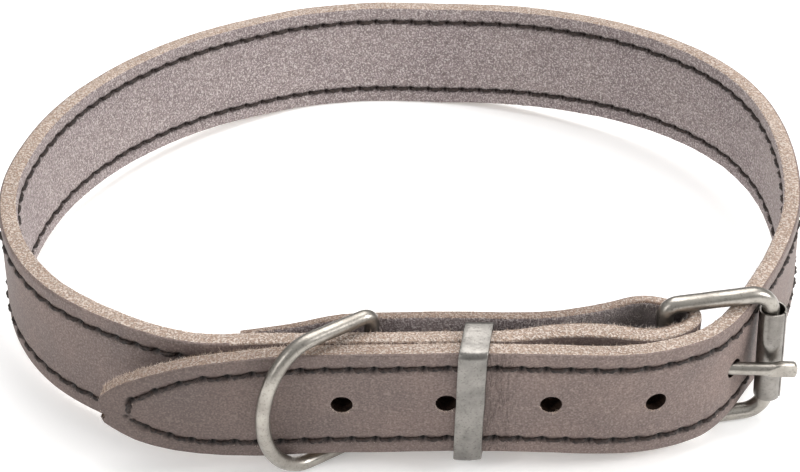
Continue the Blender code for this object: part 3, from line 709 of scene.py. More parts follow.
def link_mesh(name, mesh):
    """An object for a mesh, in the scene."""
    made = bpy.data.objects.new(name, mesh)
    bpy.context.scene.collection.objects.link(made)
    return made


def sizes_mm(obj):
    return [round(v / MM, 1) for v in obj.dimensions]


def points_of(obj):
    """The mesh's points as an array."""
    co = np.empty(len(obj.data.vertices) * 3)
    obj.data.vertices.foreach_get("co", co)
    return co.reshape(-1, 3)


def set_points(obj, co):
    obj.data.vertices.foreach_set("co", np.asarray(co, dtype=np.float64).ravel())
    obj.data.update()


deselect_all()
bpy.ops.mesh.primitive_grid_add(
    x_subdivisions=len(u_lines) - 1, y_subdivisions=len(v_lines) - 1, size=1.0
)
strap = bpy.context.object
strap.name = "leather_strap"
co = points_of(strap)
i = np.rint((co[:, 0] + 0.5) * (len(u_lines) - 1)).astype(int)
j = np.rint((co[:, 1] + 0.5) * (len(v_lines) - 1)).astype(int)
set_points(strap, np.stack([u_lines[i], np.zeros(len(co)), v_lines[j]], axis=1))
apply_modifier(strap, "thickness", "SOLIDIFY", thickness=THICK, offset=0.0)
print("flat sheet", len(strap.data.vertices), "points")

# %% Loops round the cut edge
RIM_CUTS = 6
ends = np.array([e.vertices for e in strap.data.edges])
co = points_of(strap)
cross = np.abs(co[ends[:, 0], 1] - co[ends[:, 1], 1]) > THICK / 2
divide_edges(strap, cross, RIM_CUTS)
bpy.ops.mesh.select_all(action="SELECT")
bpy.ops.mesh.normals_make_consistent(inside=False)
bpy.ops.object.mode_set(mode="OBJECT")
print("with its rim", len(strap.data.vertices), "points")

# %% Shape the flat strap
co = points_of(strap)
ug, side, vg = co.T.copy()
loop = np.rint((THICK / 2 - side) / THICK * (RIM_CUTS + 1)).astype(int)
DEPTHS = np.array([0, 0.10, 0.42, 1.2, 2.2, 3.0, 3.32, 3.5]) * MM
INSETS = np.array([0.42, 0.12, 0.0, -0.07, -0.05, 0.02, 0.14, 0.34]) * MM
on_rim = (ug < 1e-6) | (ug > LENGTH - 1e-6) | (np.abs(vg) > WIDTH / 2 - 1e-6)
side = THICK / 2 - DEPTHS[loop]
seam_at = 8.9 * MM
outer = np.where(vg >= 0, 1, -1)
share = np.interp(-vg, [0, seam_at, WIDTH / 2], [0, 1, 0])
u = ug + slip(ug) * share
half = half_height(u)
seam = np.where(vg >= 0, seam_height(u, True), seam_height(u, False))
size = np.abs(vg)
inner_part = seam * np.clip(size / seam_at, 0, 1)
outer_part = (half - seam) * np.clip((size - seam_at) / (WIDTH / 2 - seam_at), 0, 1)
up = outer * (inner_part + outer_part)


def wave(u, seed, lengths_mm):
    """A smooth uneven line along the strap, from a few waves of unlike lengths."""
    source = np.random.default_rng(seed)
    total = np.zeros_like(u)
    for length in lengths_mm:
        total += np.sin(u / (length * MM) * 2 * np.pi + source.uniform(0, 6.3)) * source.uniform(0.5, 1)
    return total / len(lengths_mm)


def bell(distance, width_mm, power=2):
    """1 at distance 0, falling off smoothly about this many millimetres away."""
    return np.exp(-((distance / (width_mm * MM)) ** power))


def paint(obj, name, values):
    """One value for each point of the mesh, for the finish to read."""
    attribute = obj.data.attributes.new(name, "FLOAT", "POINT")
    attribute.data.foreach_set("value", values.astype(np.float32))


inset = np.where(on_rim, INSETS[loop], 0.0)
ragged = 0.07 * MM * wave(u, 3, (31, 17, 9.1, 5.3)) + rng.normal(0, 0.03 * MM, len(u)) * (loop > 1)
up -= outer * np.where(np.abs(vg) > WIDTH / 2 - 1e-6, inset + ragged, 0.0)
u = u + np.where(ug < 1e-6, inset, 0.0) - np.where(ug > LENGTH - 1e-6, inset, 0.0)
seam_shade_and_mark = np.zeros(len(u))
push = np.zeros(len(u))
face = np.where(side > 0, 1.0, -1.0) * (np.abs(side) > THICK / 2 - 1e-6)
sewn = (np.abs(u - FOLD_AT) > 13 * MM) & (u > 4.5 * MM)
inner_layer = (u > FOLD_AT - 62 * MM) & (face < 0)
sewn &= ~inner_layer
for upper in (True, False):
    height = seam_height(u, upper) * (1 if upper else -1)
    off = np.abs(up - height)
    near = bell(off, 0.62) * sewn * (u > FIRST - 1 * MM)
    push -= 0.20 * MM * near * np.abs(face)
    push += 0.05 * MM * bell(off - 1.5 * MM, 0.55) * sewn * np.abs(face)
    # Painted shade along the groove of each seam
    seam_shade_and_mark += 0.30 * near
    index = np.clip(np.rint((ug - FIRST) / PITCH).astype(int), 0, HOLE_COUNT - 1)
    hole = holes[upper][index]
    gap = np.hypot(u - hole[:, 0], up - hole[:, 1])
    pit = bell(gap, 0.58) * sewn
    push -= 0.85 * MM * pit * np.abs(face)
    # Painted shade, nearly black, in each needle hole
    seam_shade_and_mark += 1.8 * bell(gap, 0.55) * sewn
# Wrinkles beside the keeper, one crease across the strap, and a tiny dark mark near the tip:
# place, depth and width in millimetres
CREASES = ((70.9, 0.08, 0.5), (72.4, 0.11, 0.6), (74.2, 0.08, 0.5), (88.8, 0.10, 0.7))
for place, deep, wide in CREASES:
    bent = place * MM + 0.5 * MM * wave(up, int(place), (14, 6))
    push -= deep * MM * bell(u - bent, wide) * (face > 0)
mark = np.hypot(u - 23.1 * MM, up - 3.0 * MM)
seam_shade_and_mark += 0.5 * bell(mark, 0.35) * (face > 0)
gap = np.hypot(u - TIP_HOLE[0], up - TIP_HOLE[1])
push -= 0.7 * MM * bell(gap, 0.45) * np.abs(face)
# Painted shade in the hole at the tip
seam_shade_and_mark += 1.1 * bell(gap, 0.55)
side = side + np.sign(side) * push
side += np.where(face < 0, rng.normal(0, 0.02 * MM, len(u)), 0)
seam_shade_and_mark = np.clip(seam_shade_and_mark, 0, 1) * (np.abs(face) > 0)
set_points(strap, np.stack([u, side, up], axis=1))
paint(strap, "seam_shade_and_mark", seam_shade_and_mark)
# How much each place is painted darker, as painted shade: at the tip a little, inside the fold and the
# gap before it a lot
tip_side = np.clip(1 - u / (75 * MM), 0, 1) * 0.50 * (side > -THICK / 2 + 0.4 * MM)
in_fold = bell(u - FOLD_AT, 17, 4) * np.where(side < -0.5 * MM, 0.92, 0.0)
before_fold = (u < FOLD_AT) * (side < -1.5 * MM)
gap_side = np.clip((u - FOLD_AT + 48 * MM) / (10 * MM), 0, 1) * before_fold * 0.8
cut_face = np.where(np.abs(side) < 1.6 * MM, 0.45, 0.0)
fold_back = np.clip((u - FOLD_AT - 4 * MM) / (8 * MM), 0, 1) * cut_face
painted_shade = np.clip(np.maximum.reduce([tip_side, in_fold, gap_side, fold_back]), 0, 1)
paint(strap, "painted_shade", painted_shade)
corner_points = np.empty(len(strap.data.loops), dtype=np.int64)
strap.data.loops.foreach_get("vertex_index", corner_points)
while strap.data.uv_layers:
    strap.data.uv_layers.remove(strap.data.uv_layers[0])
flat_map = strap.data.uv_layers.new(name="flat")
uv = np.stack([u[corner_points] / 0.1, up[corner_points] / 0.1 + 0.125], axis=1)
flat_map.data.foreach_set("uv", uv.astype(np.float32).ravel())
print("pinched", int((push < -0.1 * MM).sum()), "points along the seams")

# %% Which face has which finish
GRAIN, FLESH, CUT = 0, 1, 2
for finish in (grain, flesh, edge):
    strap.data.materials.append(finish)
face_points = [np.array(p.vertices) for p in strap.data.polygons]
pick = np.zeros(len(face_points), dtype=np.int32)
for k, members in enumerate(face_points):
    middle = loop[members].mean()
    rim_face = loop[members].min() != loop[members].max()
    at_u, at_up = u[members].mean(), up[members].mean()
    in_middle = (at_up > 0) and FOLD_AT - 92 * MM < at_u < FOLD_AT - 3 * MM
    in_end = (at_up > 0) and 30 * MM < at_u < 106 * MM
    if rim_face:
        pick[k] = CUT
        if middle < 2.0 and not in_middle:
            pick[k] = GRAIN
        if middle > 6.4 and not in_end:
            pick[k] = FLESH
    else:
        pick[k] = GRAIN if middle < 3.5 else FLESH
strap.data.polygons.foreach_set("material_index", pick)
print("faces: grain, flesh, cut edge", np.bincount(pick).tolist())

# %% [markdown]
# ## The strap, bent
# Now every flat point is carried to the strap's real way round the neck. Its thickness follows the
# rows, so it is thinner where it was drawn through the buckle.

# %% Bend the strap
co = points_of(strap)
set_points(strap, wrap(co[:, 0], co[:, 1], co[:, 2]))
activate(strap)
print("bent strap", sizes_mm(strap))

# %% [markdown]
# ## Punched holes
# Five round holes of 4 mm were punched through the free end. The tongue stands in the last one, and
# the leather there is pushed open along the tongue. Behind it the fold has a slot, where the tongue's
# eye goes round the heel bar. Cutters with a nearly black finish are taken away, so that the walls
# of the holes get it: painted shade inside them.

# %% Punch the holes
HOLE = 4.0 * MM
SPACING = 19.0 * MM
FRAME_LOW = WIRE / 2
FRAME_HIGH = FRAME_LOW + WIDTH + WIRE + 0.7 * MM
TONGUE_UP = (FRAME_LOW + FRAME_HIGH) / 2 - 0.35 * MM
TONGUE_WIRE = 2.5 * MM
EYE_WIRE = 1.8 * MM
ROLLER_OUTER = WIRE + 2.0 * MM
TONGUE_SIDE = (ROLLER_OUTER + TONGUE_WIRE) / 2 + 0.95 * MM
TONGUE_TIP = (OUTER_BAR[0] + 4.7 * MM, OUTER_BAR[1] - TONGUE_SIDE)
slope = (TONGUE_TIP[1] - HEEL[1]) / (TONGUE_TIP[0] - HEEL[0])
off_line = WAY[:, 1] - HEEL[1] - slope * (WAY[:, 0] - HEEL[0])
near = (WAY[:, 0] > HEEL[0]) & (ALONG < LENGTH / 2)
TONGUE_HOLE = float(ALONG[near][np.argmin(np.abs(off_line[near]))])
hole_places = [TONGUE_HOLE + (1.8 if k else 0.8) * MM - k * SPACING for k in range(5)]
ABOVE_MIDDLE = 0.4 * MM


def cutter_rod(centre, along, diameter, length):
    """A rod through this centre, lying this way, to be taken out of the leather."""
    bpy.ops.mesh.primitive_cylinder_add(vertices=40, radius=diameter / 2, depth=length)
    rod = bpy.context.object
    turn = Vector(along).to_track_quat("Z", "Y").to_matrix().to_4x4()
    rod.data.transform(Matrix.Translation(Vector(centre)) @ turn)
    # The cutter's nearly black finish gives the cut walls painted shade
    rod.data.materials.append(shaded_hole_wall)
    return rod


def take_out(target, cutters):
    """Boolean difference with several cutters that don't touch one another."""
    deselect_all()
    for tool in cutters:
        tool.select_set(True)
    bpy.context.view_layer.objects.active = cutters[0]
    if len(cutters) > 1:
        bpy.ops.object.join()
    tool = bpy.context.view_layer.objects.active
    activate(target)
    how = {"object": tool, "solver": "EXACT", "operation": "DIFFERENCE", "material_mode": "TRANSFER"}
    apply_modifier(target, "cut", "BOOLEAN", **how)
    bpy.data.objects.remove(tool)


rods = []
for place in hole_places:
    (x, y, lift, lean, thick, _), out_x, out_y = read_way(place)
    up = 0.0 if place > TONGUE_HOLE else ABOVE_MIDDLE
    centre = Vector((x, y, lift + WIDTH / 2 + up)) + SHIFT
    normal = Vector((out_x, out_y, 0))
    low, high = thick / 2 + GAP / 2, thick / 2 + 1 * MM
    middle = centre + normal * (high - low) / 2
    rods.append(cutter_rod(middle, normal + Vector((0, 0, -lean / WIDTH)), HOLE, high + low))
heel_point = Vector((*HEEL, TONGUE_UP)) + SHIFT
reach = TONGUE_WIRE / 2 + 0.45 * MM
eye = WIRE / 2 + 2 * GAP + EYE_WIRE
rods.append(cutter_rod(heel_point, (0, 0, 1), 2 * eye, 2 * reach))
take_out(strap, rods)
tongue_line = Vector((*TONGUE_TIP, 0)) - Vector((*HEEL, 0))
(x, y, *_), _, _ = read_way(TONGUE_HOLE)
way_out = cutter_rod(Vector((x, y, TONGUE_UP)) + SHIFT, tongue_line, 2 * reach, 9.0 * MM)
bpy.ops.mesh.primitive_cube_add(size=1.0)
slot_tool = bpy.context.object
# The slot and the tongue's way get the same painted shade
slot_tool.data.materials.append(shaded_hole_wall)
fold_out = WIRE / 2 + GAP + 0.77 * THICK
low = heel_point + Vector((-eye - 1 * MM, -reach, -reach))
high = heel_point + Vector((fold_out + 1.9 * MM, fold_out + 2 * MM, reach))
size = high - low
slot_tool.data.transform(Matrix.Translation((low + high) / 2) @ Matrix.Diagonal((*size, 1.0)))
take_out(strap, [way_out, slot_tool])
bpy.ops.object.shade_smooth_by_angle(angle=math.radians(50))
print("holes at", [round(p / MM, 1) for p in hole_places], "faces", len(strap.data.polygons))
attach(strap, "collar")
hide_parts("strap")

# %% [markdown]
# ## The seams
# The thread shows as one stitch between each two holes: it comes up out of a hole, lies in the
# groove and dives into the next. Two plies twisted together give it a section like an
# eight, which turns along the stitch. One stitch is shaped from rings of points, and laid again and
# again with small differences, on both faces of the leather.

# %% Lay the stitches
RINGS, AROUND = 10, 8
t = np.linspace(0, 1, RINGS)
turn = np.arange(AROUND) / AROUND * 2 * np.pi
stitch_faces = []
for r in range(RINGS - 1):
    for k in range(AROUND):
        n = (k + 1) % AROUND
        here, there = r * AROUND, (r + 1) * AROUND
        stitch_faces.append((here + k, here + n, there + n, there + k))
stitch_faces.append(tuple(range(AROUND))[::-1])
stitch_faces.append(tuple((RINGS - 1) * AROUND + k for k in range(AROUND)))
THREAD = 0.96 * MM
all_points, all_faces = [], []


def lay_stitch(start, end, face):
    """One stitch on the grain face (1) or the flesh face (-1), from hole to hole on the flat strap."""
    start, end = np.array(start), np.array(end)
    line = end - start
    length = np.hypot(*line)
    line /= length
    aside = np.array([-line[1], line[0]])
    begin = start + line * 0.46 * MM - aside * 0.14 * MM * face
    finish = end - line * 0.36 * MM + aside * 0.14 * MM * face
    middle = begin[None] * (1 - t[:, None]) + finish[None] * t[:, None]
    middle += aside * rng.normal(0, 0.06 * MM)
    high = (0.04 + rng.normal(0, 0.03) - 1.35 * np.abs(2 * t - 1) ** 6) * MM
    radius = THREAD / 2 * rng.uniform(0.82, 1.08) * (1 - 0.30 * np.abs(2 * t - 1) ** 3)
    radius = radius * (1 + rng.normal(0, 0.07, RINGS))
    phase = rng.uniform(0, 3.1) + 2.4 * np.pi * t
    lobe = radius[:, None] * (1 + 0.26 * np.cos(2 * (turn[None] - phase[:, None])))
    out = high[:, None] + lobe * np.sin(turn)[None] * 0.9
    across = lobe * np.cos(turn)[None]
    u = middle[:, 0, None] + aside[0] * across
    up = middle[:, 1, None] + aside[1] * across
    side = face * (THICK / 2 + out)
    base = len(all_points) * RINGS * AROUND
    placed = wrap(u.ravel(), side.ravel(), up.ravel())
    order = 1 if face > 0 else -1
    all_points.append(placed)
    all_faces.extend(tuple(base + p for p in f[::order]) for f in stitch_faces)


def is_sewn(u, face):
    """Whether the thread shows at this distance from the tip, on this face."""
    if abs(u - FOLD_AT) < 14 * MM:
        return False
    return face > 0 or u < FOLD_AT - 64 * MM


for upper in (True, False):
    row = holes[upper]
    for k in range(HOLE_COUNT - 1):
        for face in (1, -1):
            if is_sewn(row[k, 0], face) and is_sewn(row[k + 1, 0], face):
                lay_stitch(row[k], row[k + 1], face)
for face in (1, -1):
    lay_stitch(TIP_HOLE, holes[True][0], face)
    lay_stitch(TIP_HOLE, holes[False][0], face)
seams = bpy.data.meshes.new("seams")
seams.from_pydata(np.concatenate(all_points).tolist(), [], all_faces)
sewing = link_mesh("seam_thread", seams)
sewing.data.materials.append(thread)
sewing.data.shade_smooth()
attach(sewing, "collar")
print("stitches", len(all_points), "faces", len(all_faces))

# %% [markdown]
# ## Fluff on the cut edges
# A raw edge never ends clean. Short fibres stand off it, most of them along the flesh side's
# corner, and tufts hang at the punched holes. Each is a thin bent three-sided hair. They are a bit
# thicker than life, so that they still show in the picture.

# %% Grow the fibres
HAIR_RINGS = 4


def grow(name, u, side, up, out_dir, up_dir, length_mm, finish):
    """Hairs rooted on the flat strap, one for each place, leaning the given ways."""
    count = len(u)
    root = wrap(u, side, up)
    toward = wrap(u, side + out_dir * 0.1 * MM, up + up_dir * 0.1 * MM) - root
    toward += rng.normal(0, 0.055 * MM, (count, 3))
    toward /= np.linalg.norm(toward, axis=1)[:, None]
    bend = rng.normal(0, 0.6, (count, 3))
    length = np.abs(rng.normal(length_mm, length_mm * 0.4, count)) * MM
    thick = rng.uniform(0.022, 0.05, count) * MM
    aside = np.cross(toward, rng.normal(0, 1, (count, 3)))
    aside /= np.linalg.norm(aside, axis=1)[:, None]
    other = np.cross(toward, aside)
    points = []
    for r in range(HAIR_RINGS):
        f = r / (HAIR_RINGS - 1)
        spot = root + toward * (length * f)[:, None] + bend * (length * f * f * 0.5)[:, None]
        for k in range(3):
            a = 2 * np.pi * k / 3
            ring = aside * math.cos(a) + other * math.sin(a)
            points.append(spot + ring * (thick * (1.05 - 0.75 * f))[:, None])
    points = np.stack(points, axis=1)
    points[:, :, 2] = np.maximum(points[:, :, 2], 0.02 * MM)
    pattern = []
    for r in range(HAIR_RINGS - 1):
        for k in range(3):
            n = (k + 1) % 3
            pattern.append((r * 3 + k, r * 3 + n, r * 3 + 3 + n, r * 3 + 3 + k))
    faces = (np.arange(count)[:, None, None] * HAIR_RINGS * 3 + np.array(pattern)[None]).reshape(-1, 4)
    mesh = bpy.data.meshes.new(name)
    mesh.from_pydata(points.reshape(-1, 3).tolist(), [], faces.tolist())
    made = link_mesh(name, mesh)
    made.data.materials.append(finish)
    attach(made, "collar")
    print(name, count, "hairs")


def edge_roots(count, low_u, high_u, flesh_share):
    """Random roots on the cut edges: places along, through and across the strap."""
    u = rng.uniform(low_u, high_u, count)
    upper = np.where(rng.uniform(0, 1, count) < 0.62, 1.0, -1.0)
    deep = rng.uniform(0, 1, count) < flesh_share
    side = np.where(deep, rng.uniform(-0.5, -0.36, count), rng.uniform(-0.4, 0.30, count)) * THICK
    inset = np.where(deep, rng.uniform(0, 0.35, count), 0.0) * MM
    up = upper * (half_height(u) - inset)
    return u, side, up, np.where(deep, -0.8, 0.0), upper * np.where(deep, 0.7, 1.0)


grow("edge_fluff", *edge_roots(4200, 1 * MM, LENGTH - 1 * MM, 0.6), 0.34, fluff)
grow("tip_fluff", *edge_roots(1100, 0.3 * MM, 70 * MM, 0.75), 0.42, fluff)
count = 420
u = rng.uniform(0, 6 * MM, count) ** 2 / (6 * MM)
up = half_height(u) * np.where(u < 0.6 * MM, rng.uniform(-0.6, 1, count), 1.0)
side = rng.uniform(-0.5, 0.38, count) * THICK
grow("tip_end_fluff", u, side, up, np.zeros(count), 1.0, 0.34, fluff)

# %% Tufts at the holes, and dark nap in the gap of the fold
count = 260
tufts = rng.integers(1, len(hole_places), count)
round_at = rng.normal(-1.7, 0.8, count)
u = np.array(hole_places)[tufts] + 0.52 * HOLE * np.cos(round_at)
up = 0.52 * HOLE * np.sin(round_at) + ABOVE_MIDDLE
grow("hole_fluff", u, np.full(count, THICK / 2 - 0.05 * MM), up, 0.5, -0.8, 0.36, fluff)
stitched = np.concatenate([holes[True], holes[False]])
stitched = stitched[(np.abs(stitched[:, 0] - FOLD_AT) > 14 * MM)]
chosen = stitched[rng.integers(0, len(stitched), count)]
u, up = chosen[:, 0] + rng.normal(0, 0.3 * MM, count), chosen[:, 1] - 0.75 * MM
grow("stitch_fluff", u, np.full(count, THICK / 2 - 0.03 * MM), up, 0.5, -0.6, 0.22, fluff)
count = 2600
u = rng.uniform(FOLD_AT - 40 * MM, FOLD_AT + 30 * MM, count)
up = rng.uniform(0.62, 1.0, count) * half_height(u)
grow("fold_nap", u, np.full(count, -THICK / 2), up, -0.9, 0.3, 0.45, dark_fluff)

# %% [markdown]
# ## Bent wire
# The frame and the D-ring are steel wire bent round formers and butted. A curve with a round
# bevel follows the bends exactly; it is made a mesh, closed where its ends meet, and given the
# faint unevenness of tumbled wire.

# %% Bend a wire
UNEVENNESS = 0.03


def join_doubles(obj):
    """Merge doubled points, and turn the faces outwards."""
    activate(obj)
    bpy.ops.object.mode_set(mode="EDIT")
    bpy.ops.mesh.select_all(action="SELECT")
    bpy.ops.mesh.remove_doubles(threshold=1e-6)
    bpy.ops.mesh.normals_make_consistent(inside=False)
    bpy.ops.object.mode_set(mode="OBJECT")


def bent_wire(name, points, wire, finish):
    """A closed round wire along the points."""
    curve = bpy.data.curves.new(name, "CURVE")
    curve.dimensions = "3D"
    curve.bevel_depth = wire / 2
    curve.bevel_resolution = 6
    line = curve.splines.new("POLY")
    line.points.add(len(points) - 1)
    for point, place in zip(line.points, points):
        point.co = (*place, 1.0)
    line.use_cyclic_u = True
    activate(link_mesh(name, curve))
    bpy.ops.object.convert(target="MESH")
    wire_object = bpy.context.object
    wire_object.name = name
    join_doubles(wire_object)
    co = points_of(wire_object)
    wobble = [wave(co[:, 0] * 1.3 + co[:, 2] * k, 20 + k, (9, 5.1, 3.3)) for k in (1, 2, 3)]
    set_points(wire_object, co + np.stack(wobble, axis=1) * UNEVENNESS * MM)
    wire_object.data.materials.clear()
    wire_object.data.materials.append(finish)
    wire_object.data.shade_smooth()
    return wire_object


def arc(centre, radius, start, end, steps=14):
    """Points on an arc in the X-Z plane."""
    turns = np.radians(np.linspace(start, end, steps + 1))
    return [(centre[0] + radius * math.cos(a), 0.0, centre[1] + radius * math.sin(a)) for a in turns]


def about(point, turn):
    """A turn or lean about a point that stays where it is."""
    return Matrix.Translation(point) @ turn @ Matrix.Translation(-point)


def upright_edges(obj):
    """Which edges of a standing tube run from end to end."""
    co = points_of(obj)
    return np.array([abs(co[e.vertices[0], 2] - co[e.vertices[1], 2]) > MM for e in obj.data.edges])


def with_straights(points, longest=1.2 * MM):
    """Extra points on the long straights of a closed path."""
    filled = []
    for here, there in zip(points, points[1:] + points[:1]):
        here, there = np.array(here), np.array(there)
        steps = max(1, int(np.linalg.norm(there - here) / longest))
        filled += [tuple(here + (there - here) * k / steps) for k in range(steps)]
    return filled


# %% [markdown]
# ## Buckle frame
# A rounded oblong of 3.2 mm wire. Its heel bar sits tight in the fold, so its bends are small
# there; the bends at the roller's end are rounder, and stand clear of the roller.

# %% Buckle frame
half_long = (Vector(OUTER_BAR) - Vector(HEEL)).length / 2
tight, wide = 2.5 * MM, 4.2 * MM
corners = arc((half_long - wide, FRAME_HIGH - wide), wide, 0, 90)
corners += arc((-half_long + tight, FRAME_HIGH - tight), tight, 90, 180)
corners += arc((-half_long + tight, FRAME_LOW + tight), tight, 180, 270)
corners += arc((half_long - wide, FRAME_LOW + wide), wide, 270, 360)
frame_wire = bent_wire("buckle_frame_wire", with_straights(corners), WIRE, wire_nickel)
middle = (Vector(HEEL) + Vector(OUTER_BAR)) / 2
direction = Vector(OUTER_BAR) - Vector(HEEL)
face_round = Matrix.Rotation(math.atan2(direction.y, direction.x), 4, "Z")
pivot = Vector((*HEEL, (FRAME_LOW + FRAME_HIGH) / 2))
FRAME_SKEW = 0.06
FRAME_LEAN = math.atan(1.0 / 25.0)
skew = Matrix.Identity(4)
skew[0][2] = -FRAME_SKEW
tip_over = Matrix.Rotation(FRAME_LEAN, 4, "X") @ skew
lean = Matrix.Translation(SHIFT) @ about(pivot, tip_over)
frame_wire.data.transform(lean @ Matrix.Translation((middle.x, middle.y, 0)) @ face_round)
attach(frame_wire, "collar")
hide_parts("buckle_frame")
print("frame wire", sizes_mm(frame_wire))

# %% [markdown]
# ## Roller
# A strip of thin sheet, rolled to a tube round the outer bar, so it has an open seam. On the side
# that faces out, a long shallow dent was pressed in above the tongue. The tube starts as a
# cylinder without ends, loses the faces of its seam, is pressed, and gets its wall and soft lips.

# %% Roller
ROLLER_WALL = 0.45 * MM
ROLLER_HALF = (FRAME_HIGH - FRAME_LOW - 2 * (wide - 0.3 * MM)) / 2
joints = {j["name"]: j for j in frame["joints"]}
deselect_all()
bpy.ops.mesh.primitive_cylinder_add(
    vertices=96, radius=ROLLER_OUTER / 2, depth=2 * ROLLER_HALF, end_fill_type="NOTHING"
)
roller = bpy.context.object
roller.name = "rolled_tube"
bpy.ops.object.mode_set(mode="EDIT")
bpy.ops.mesh.select_all(action="SELECT")
bpy.ops.mesh.subdivide_edgering(number_cuts=1)
bpy.ops.object.mode_set(mode="OBJECT")
divide_edges(roller, upright_edges(roller), 25)
SEAM_TURN = math.radians(-38)
bpy.ops.mesh.select_mode(type="FACE")
bpy.ops.mesh.select_all(action="DESELECT")
bpy.ops.object.mode_set(mode="OBJECT")
for polygon in roller.data.polygons:
    turned = math.atan2(polygon.center.y, polygon.center.x)
    away = (turned - SEAM_TURN + math.pi) % (2 * math.pi) - math.pi
    polygon.select = abs(away) < math.radians(2.5)
bpy.ops.object.mode_set(mode="EDIT")
bpy.ops.mesh.delete(type="FACE")
bpy.ops.mesh.select_all(action="SELECT")
bpy.ops.mesh.normals_make_consistent(inside=False)
bpy.ops.object.mode_set(mode="OBJECT")
co = points_of(roller)
turned = np.degrees(np.arctan2(co[:, 1], co[:, 0]))
off_dent = (turned + 97 + 180) % 360 - 180
across = 1 - np.clip((np.abs(off_dent) - 22) / 20, 0, 1)
across = across * across * (3 - 2 * across)
z = co[:, 2]
low_end = 2.7 * MM + 1.6 * MM * (np.abs(off_dent) / 42) ** 2
down = np.clip((z - low_end) / (1.0 * MM), 0, 1)
top = np.clip((ROLLER_HALF + 0.2 * MM - z) / (1.6 * MM), 0.25, 1)
press = 0.36 * MM * across * down * down * (3 - 2 * down) * top
radius = np.hypot(co[:, 0], co[:, 1])
shrink = 1 - press / radius
set_points(roller, np.stack([co[:, 0] * shrink, co[:, 1] * shrink, z], axis=1))
apply_modifier(roller, "wall", "SOLIDIFY", thickness=ROLLER_WALL, offset=-1.0)
SHARP_CORNERS = {"segments": 2, "limit_method": "ANGLE", "angle_limit": math.radians(50)}
apply_modifier(roller, "lips", "BEVEL", width=0.12 * MM, **SHARP_CORNERS)
axis = Vector(joints["roller_spin"]["axis"])
turn = Vector((0, 0, 1)).rotation_difference(axis).to_matrix().to_4x4()
roller.data.transform(Matrix.Translation(Vector(joints["roller_spin"]["pos_m"])) @ turn)
roller.data.materials.append(roller_nickel)
bpy.ops.object.shade_smooth_by_angle(angle=math.radians(40))
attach(roller, "roller")
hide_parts("buckle_roller")
print("roller", sizes_mm(roller))

# %% [markdown]
# ## Tongue
# The tongue is wire too. One end is bent to an eye round the heel bar. The other was hammered: the
# front was struck flat, so a slanting facet ends in a flat, slightly taller tip with worn corners.
# It starts as a cylinder with many rings; the rings near the tip are then moved from round to flat.

# %% Tongue
reach_of_tongue = tongue_line.length
eye_radius = WIRE / 2 + GAP + EYE_WIRE / 2
shank_from = eye_radius
shank_long = reach_of_tongue - shank_from
deselect_all()
bpy.ops.mesh.primitive_cylinder_add(
    vertices=40, radius=TONGUE_WIRE / 2, depth=shank_long, end_fill_type="NOTHING"
)
tongue = bpy.context.object
tongue.name = "buckle_tongue_wire"
divide_edges(tongue, upright_edges(tongue), 90)
bpy.ops.mesh.select_mode(type="VERT")
bpy.ops.mesh.select_all(action="SELECT")
bpy.ops.mesh.fill_holes(sides=0)
bpy.ops.object.mode_set(mode="OBJECT")
tongue.data.transform(Matrix.Rotation(math.pi / 2, 4, "Y"))
co = points_of(tongue)
x = co[:, 0] + shank_from + shank_long / 2
y, z = co[:, 1].copy(), co[:, 2].copy()
FLAT_FROM = reach_of_tongue - 5.4 * MM
r = TONGUE_WIRE / 2
b = np.clip((x - FLAT_FROM - 1.1 * MM * (z / r)) / (1.5 * MM), 0, 1)
flat_y = np.sign(y) * np.minimum(np.abs(y) * 1.35, 0.98 * MM)
flat_y = np.where(y < 0, np.maximum(flat_y, -0.72 * MM), flat_y)
flat_z = z * (1.52 * MM / r) * np.where(np.abs(z) > 0.8 * r, 0.99, 1.0)
y = y * (1 - b) + flat_y * b
z = z * (1 - b) + flat_z * b
left = np.clip((reach_of_tongue - x) / (0.75 * MM), 0, 1)
ease = np.sqrt(np.clip(1 - (1 - left) ** 2, 0, 1))
z = z * (0.45 + 0.55 * ease)
y = y * (0.55 + 0.45 * ease)
set_points(tongue, np.stack([x, y, z], axis=1))
deselect_all()
bpy.ops.mesh.primitive_torus_add(
    major_radius=eye_radius, minor_radius=EYE_WIRE / 2, major_segments=64, minor_segments=20
)
eye_ring = bpy.context.object
apply_modifier(eye_ring, "shank", "BOOLEAN", operation="UNION", solver="EXACT", object=tongue)
bpy.data.objects.remove(tongue)
tongue = eye_ring
tongue.name = "buckle_tongue_wire"
facing = math.atan2(tongue_line.y, tongue_line.x)
tongue.data.transform(Matrix.Translation(heel_point) @ Matrix.Rotation(facing, 4, "Z"))
tongue.data.materials.clear()
tongue.data.materials.append(wire_nickel)
activate(tongue)
bpy.ops.object.shade_smooth_by_angle(angle=math.radians(38))
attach(tongue, "collar")
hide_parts("buckle_tongue")
print("tongue", sizes_mm(tongue))

# %% [markdown]
# ## D-ring
# The ring for the lead: a straight bar, short legs and a half oval, all of 2.8 mm wire. It leans on
# the free end and stands on the table.

# %% D-ring
RING_WIRE = 2.8 * MM
high = (WIDTH + RING_WIRE + 3.2 * MM) / 2
ring_reach, leg, corner = 23.0 * MM, 12.9 * MM, 2.2 * MM
path = arc((-corner, high - corner), corner, 0, 90, 10)
for a in np.radians(np.linspace(90, -90, 61)):
    path.append((-leg - (ring_reach - leg) * math.cos(a), 0.0, high * math.sin(a)))
path += arc((-corner, -high + corner), corner, 270, 360, 10)
ring = bent_wire("d_ring_wire", with_straights(path), RING_WIRE, wire_nickel)
RING_TURN, RING_TIP_FRONT, RING_TIP_LEFT = (math.radians(a) for a in (34.1, 4.65, 2.3))
ring.data.transform(Matrix.Rotation(RING_TURN, 4, "Z"))
leaning = Euler((RING_TIP_FRONT, RING_TIP_LEFT, 0)).to_matrix().to_4x4()
ring.data.transform(Matrix.Translation(Vector(joints["d_ring_swing"]["pos_m"])) @ leaning)
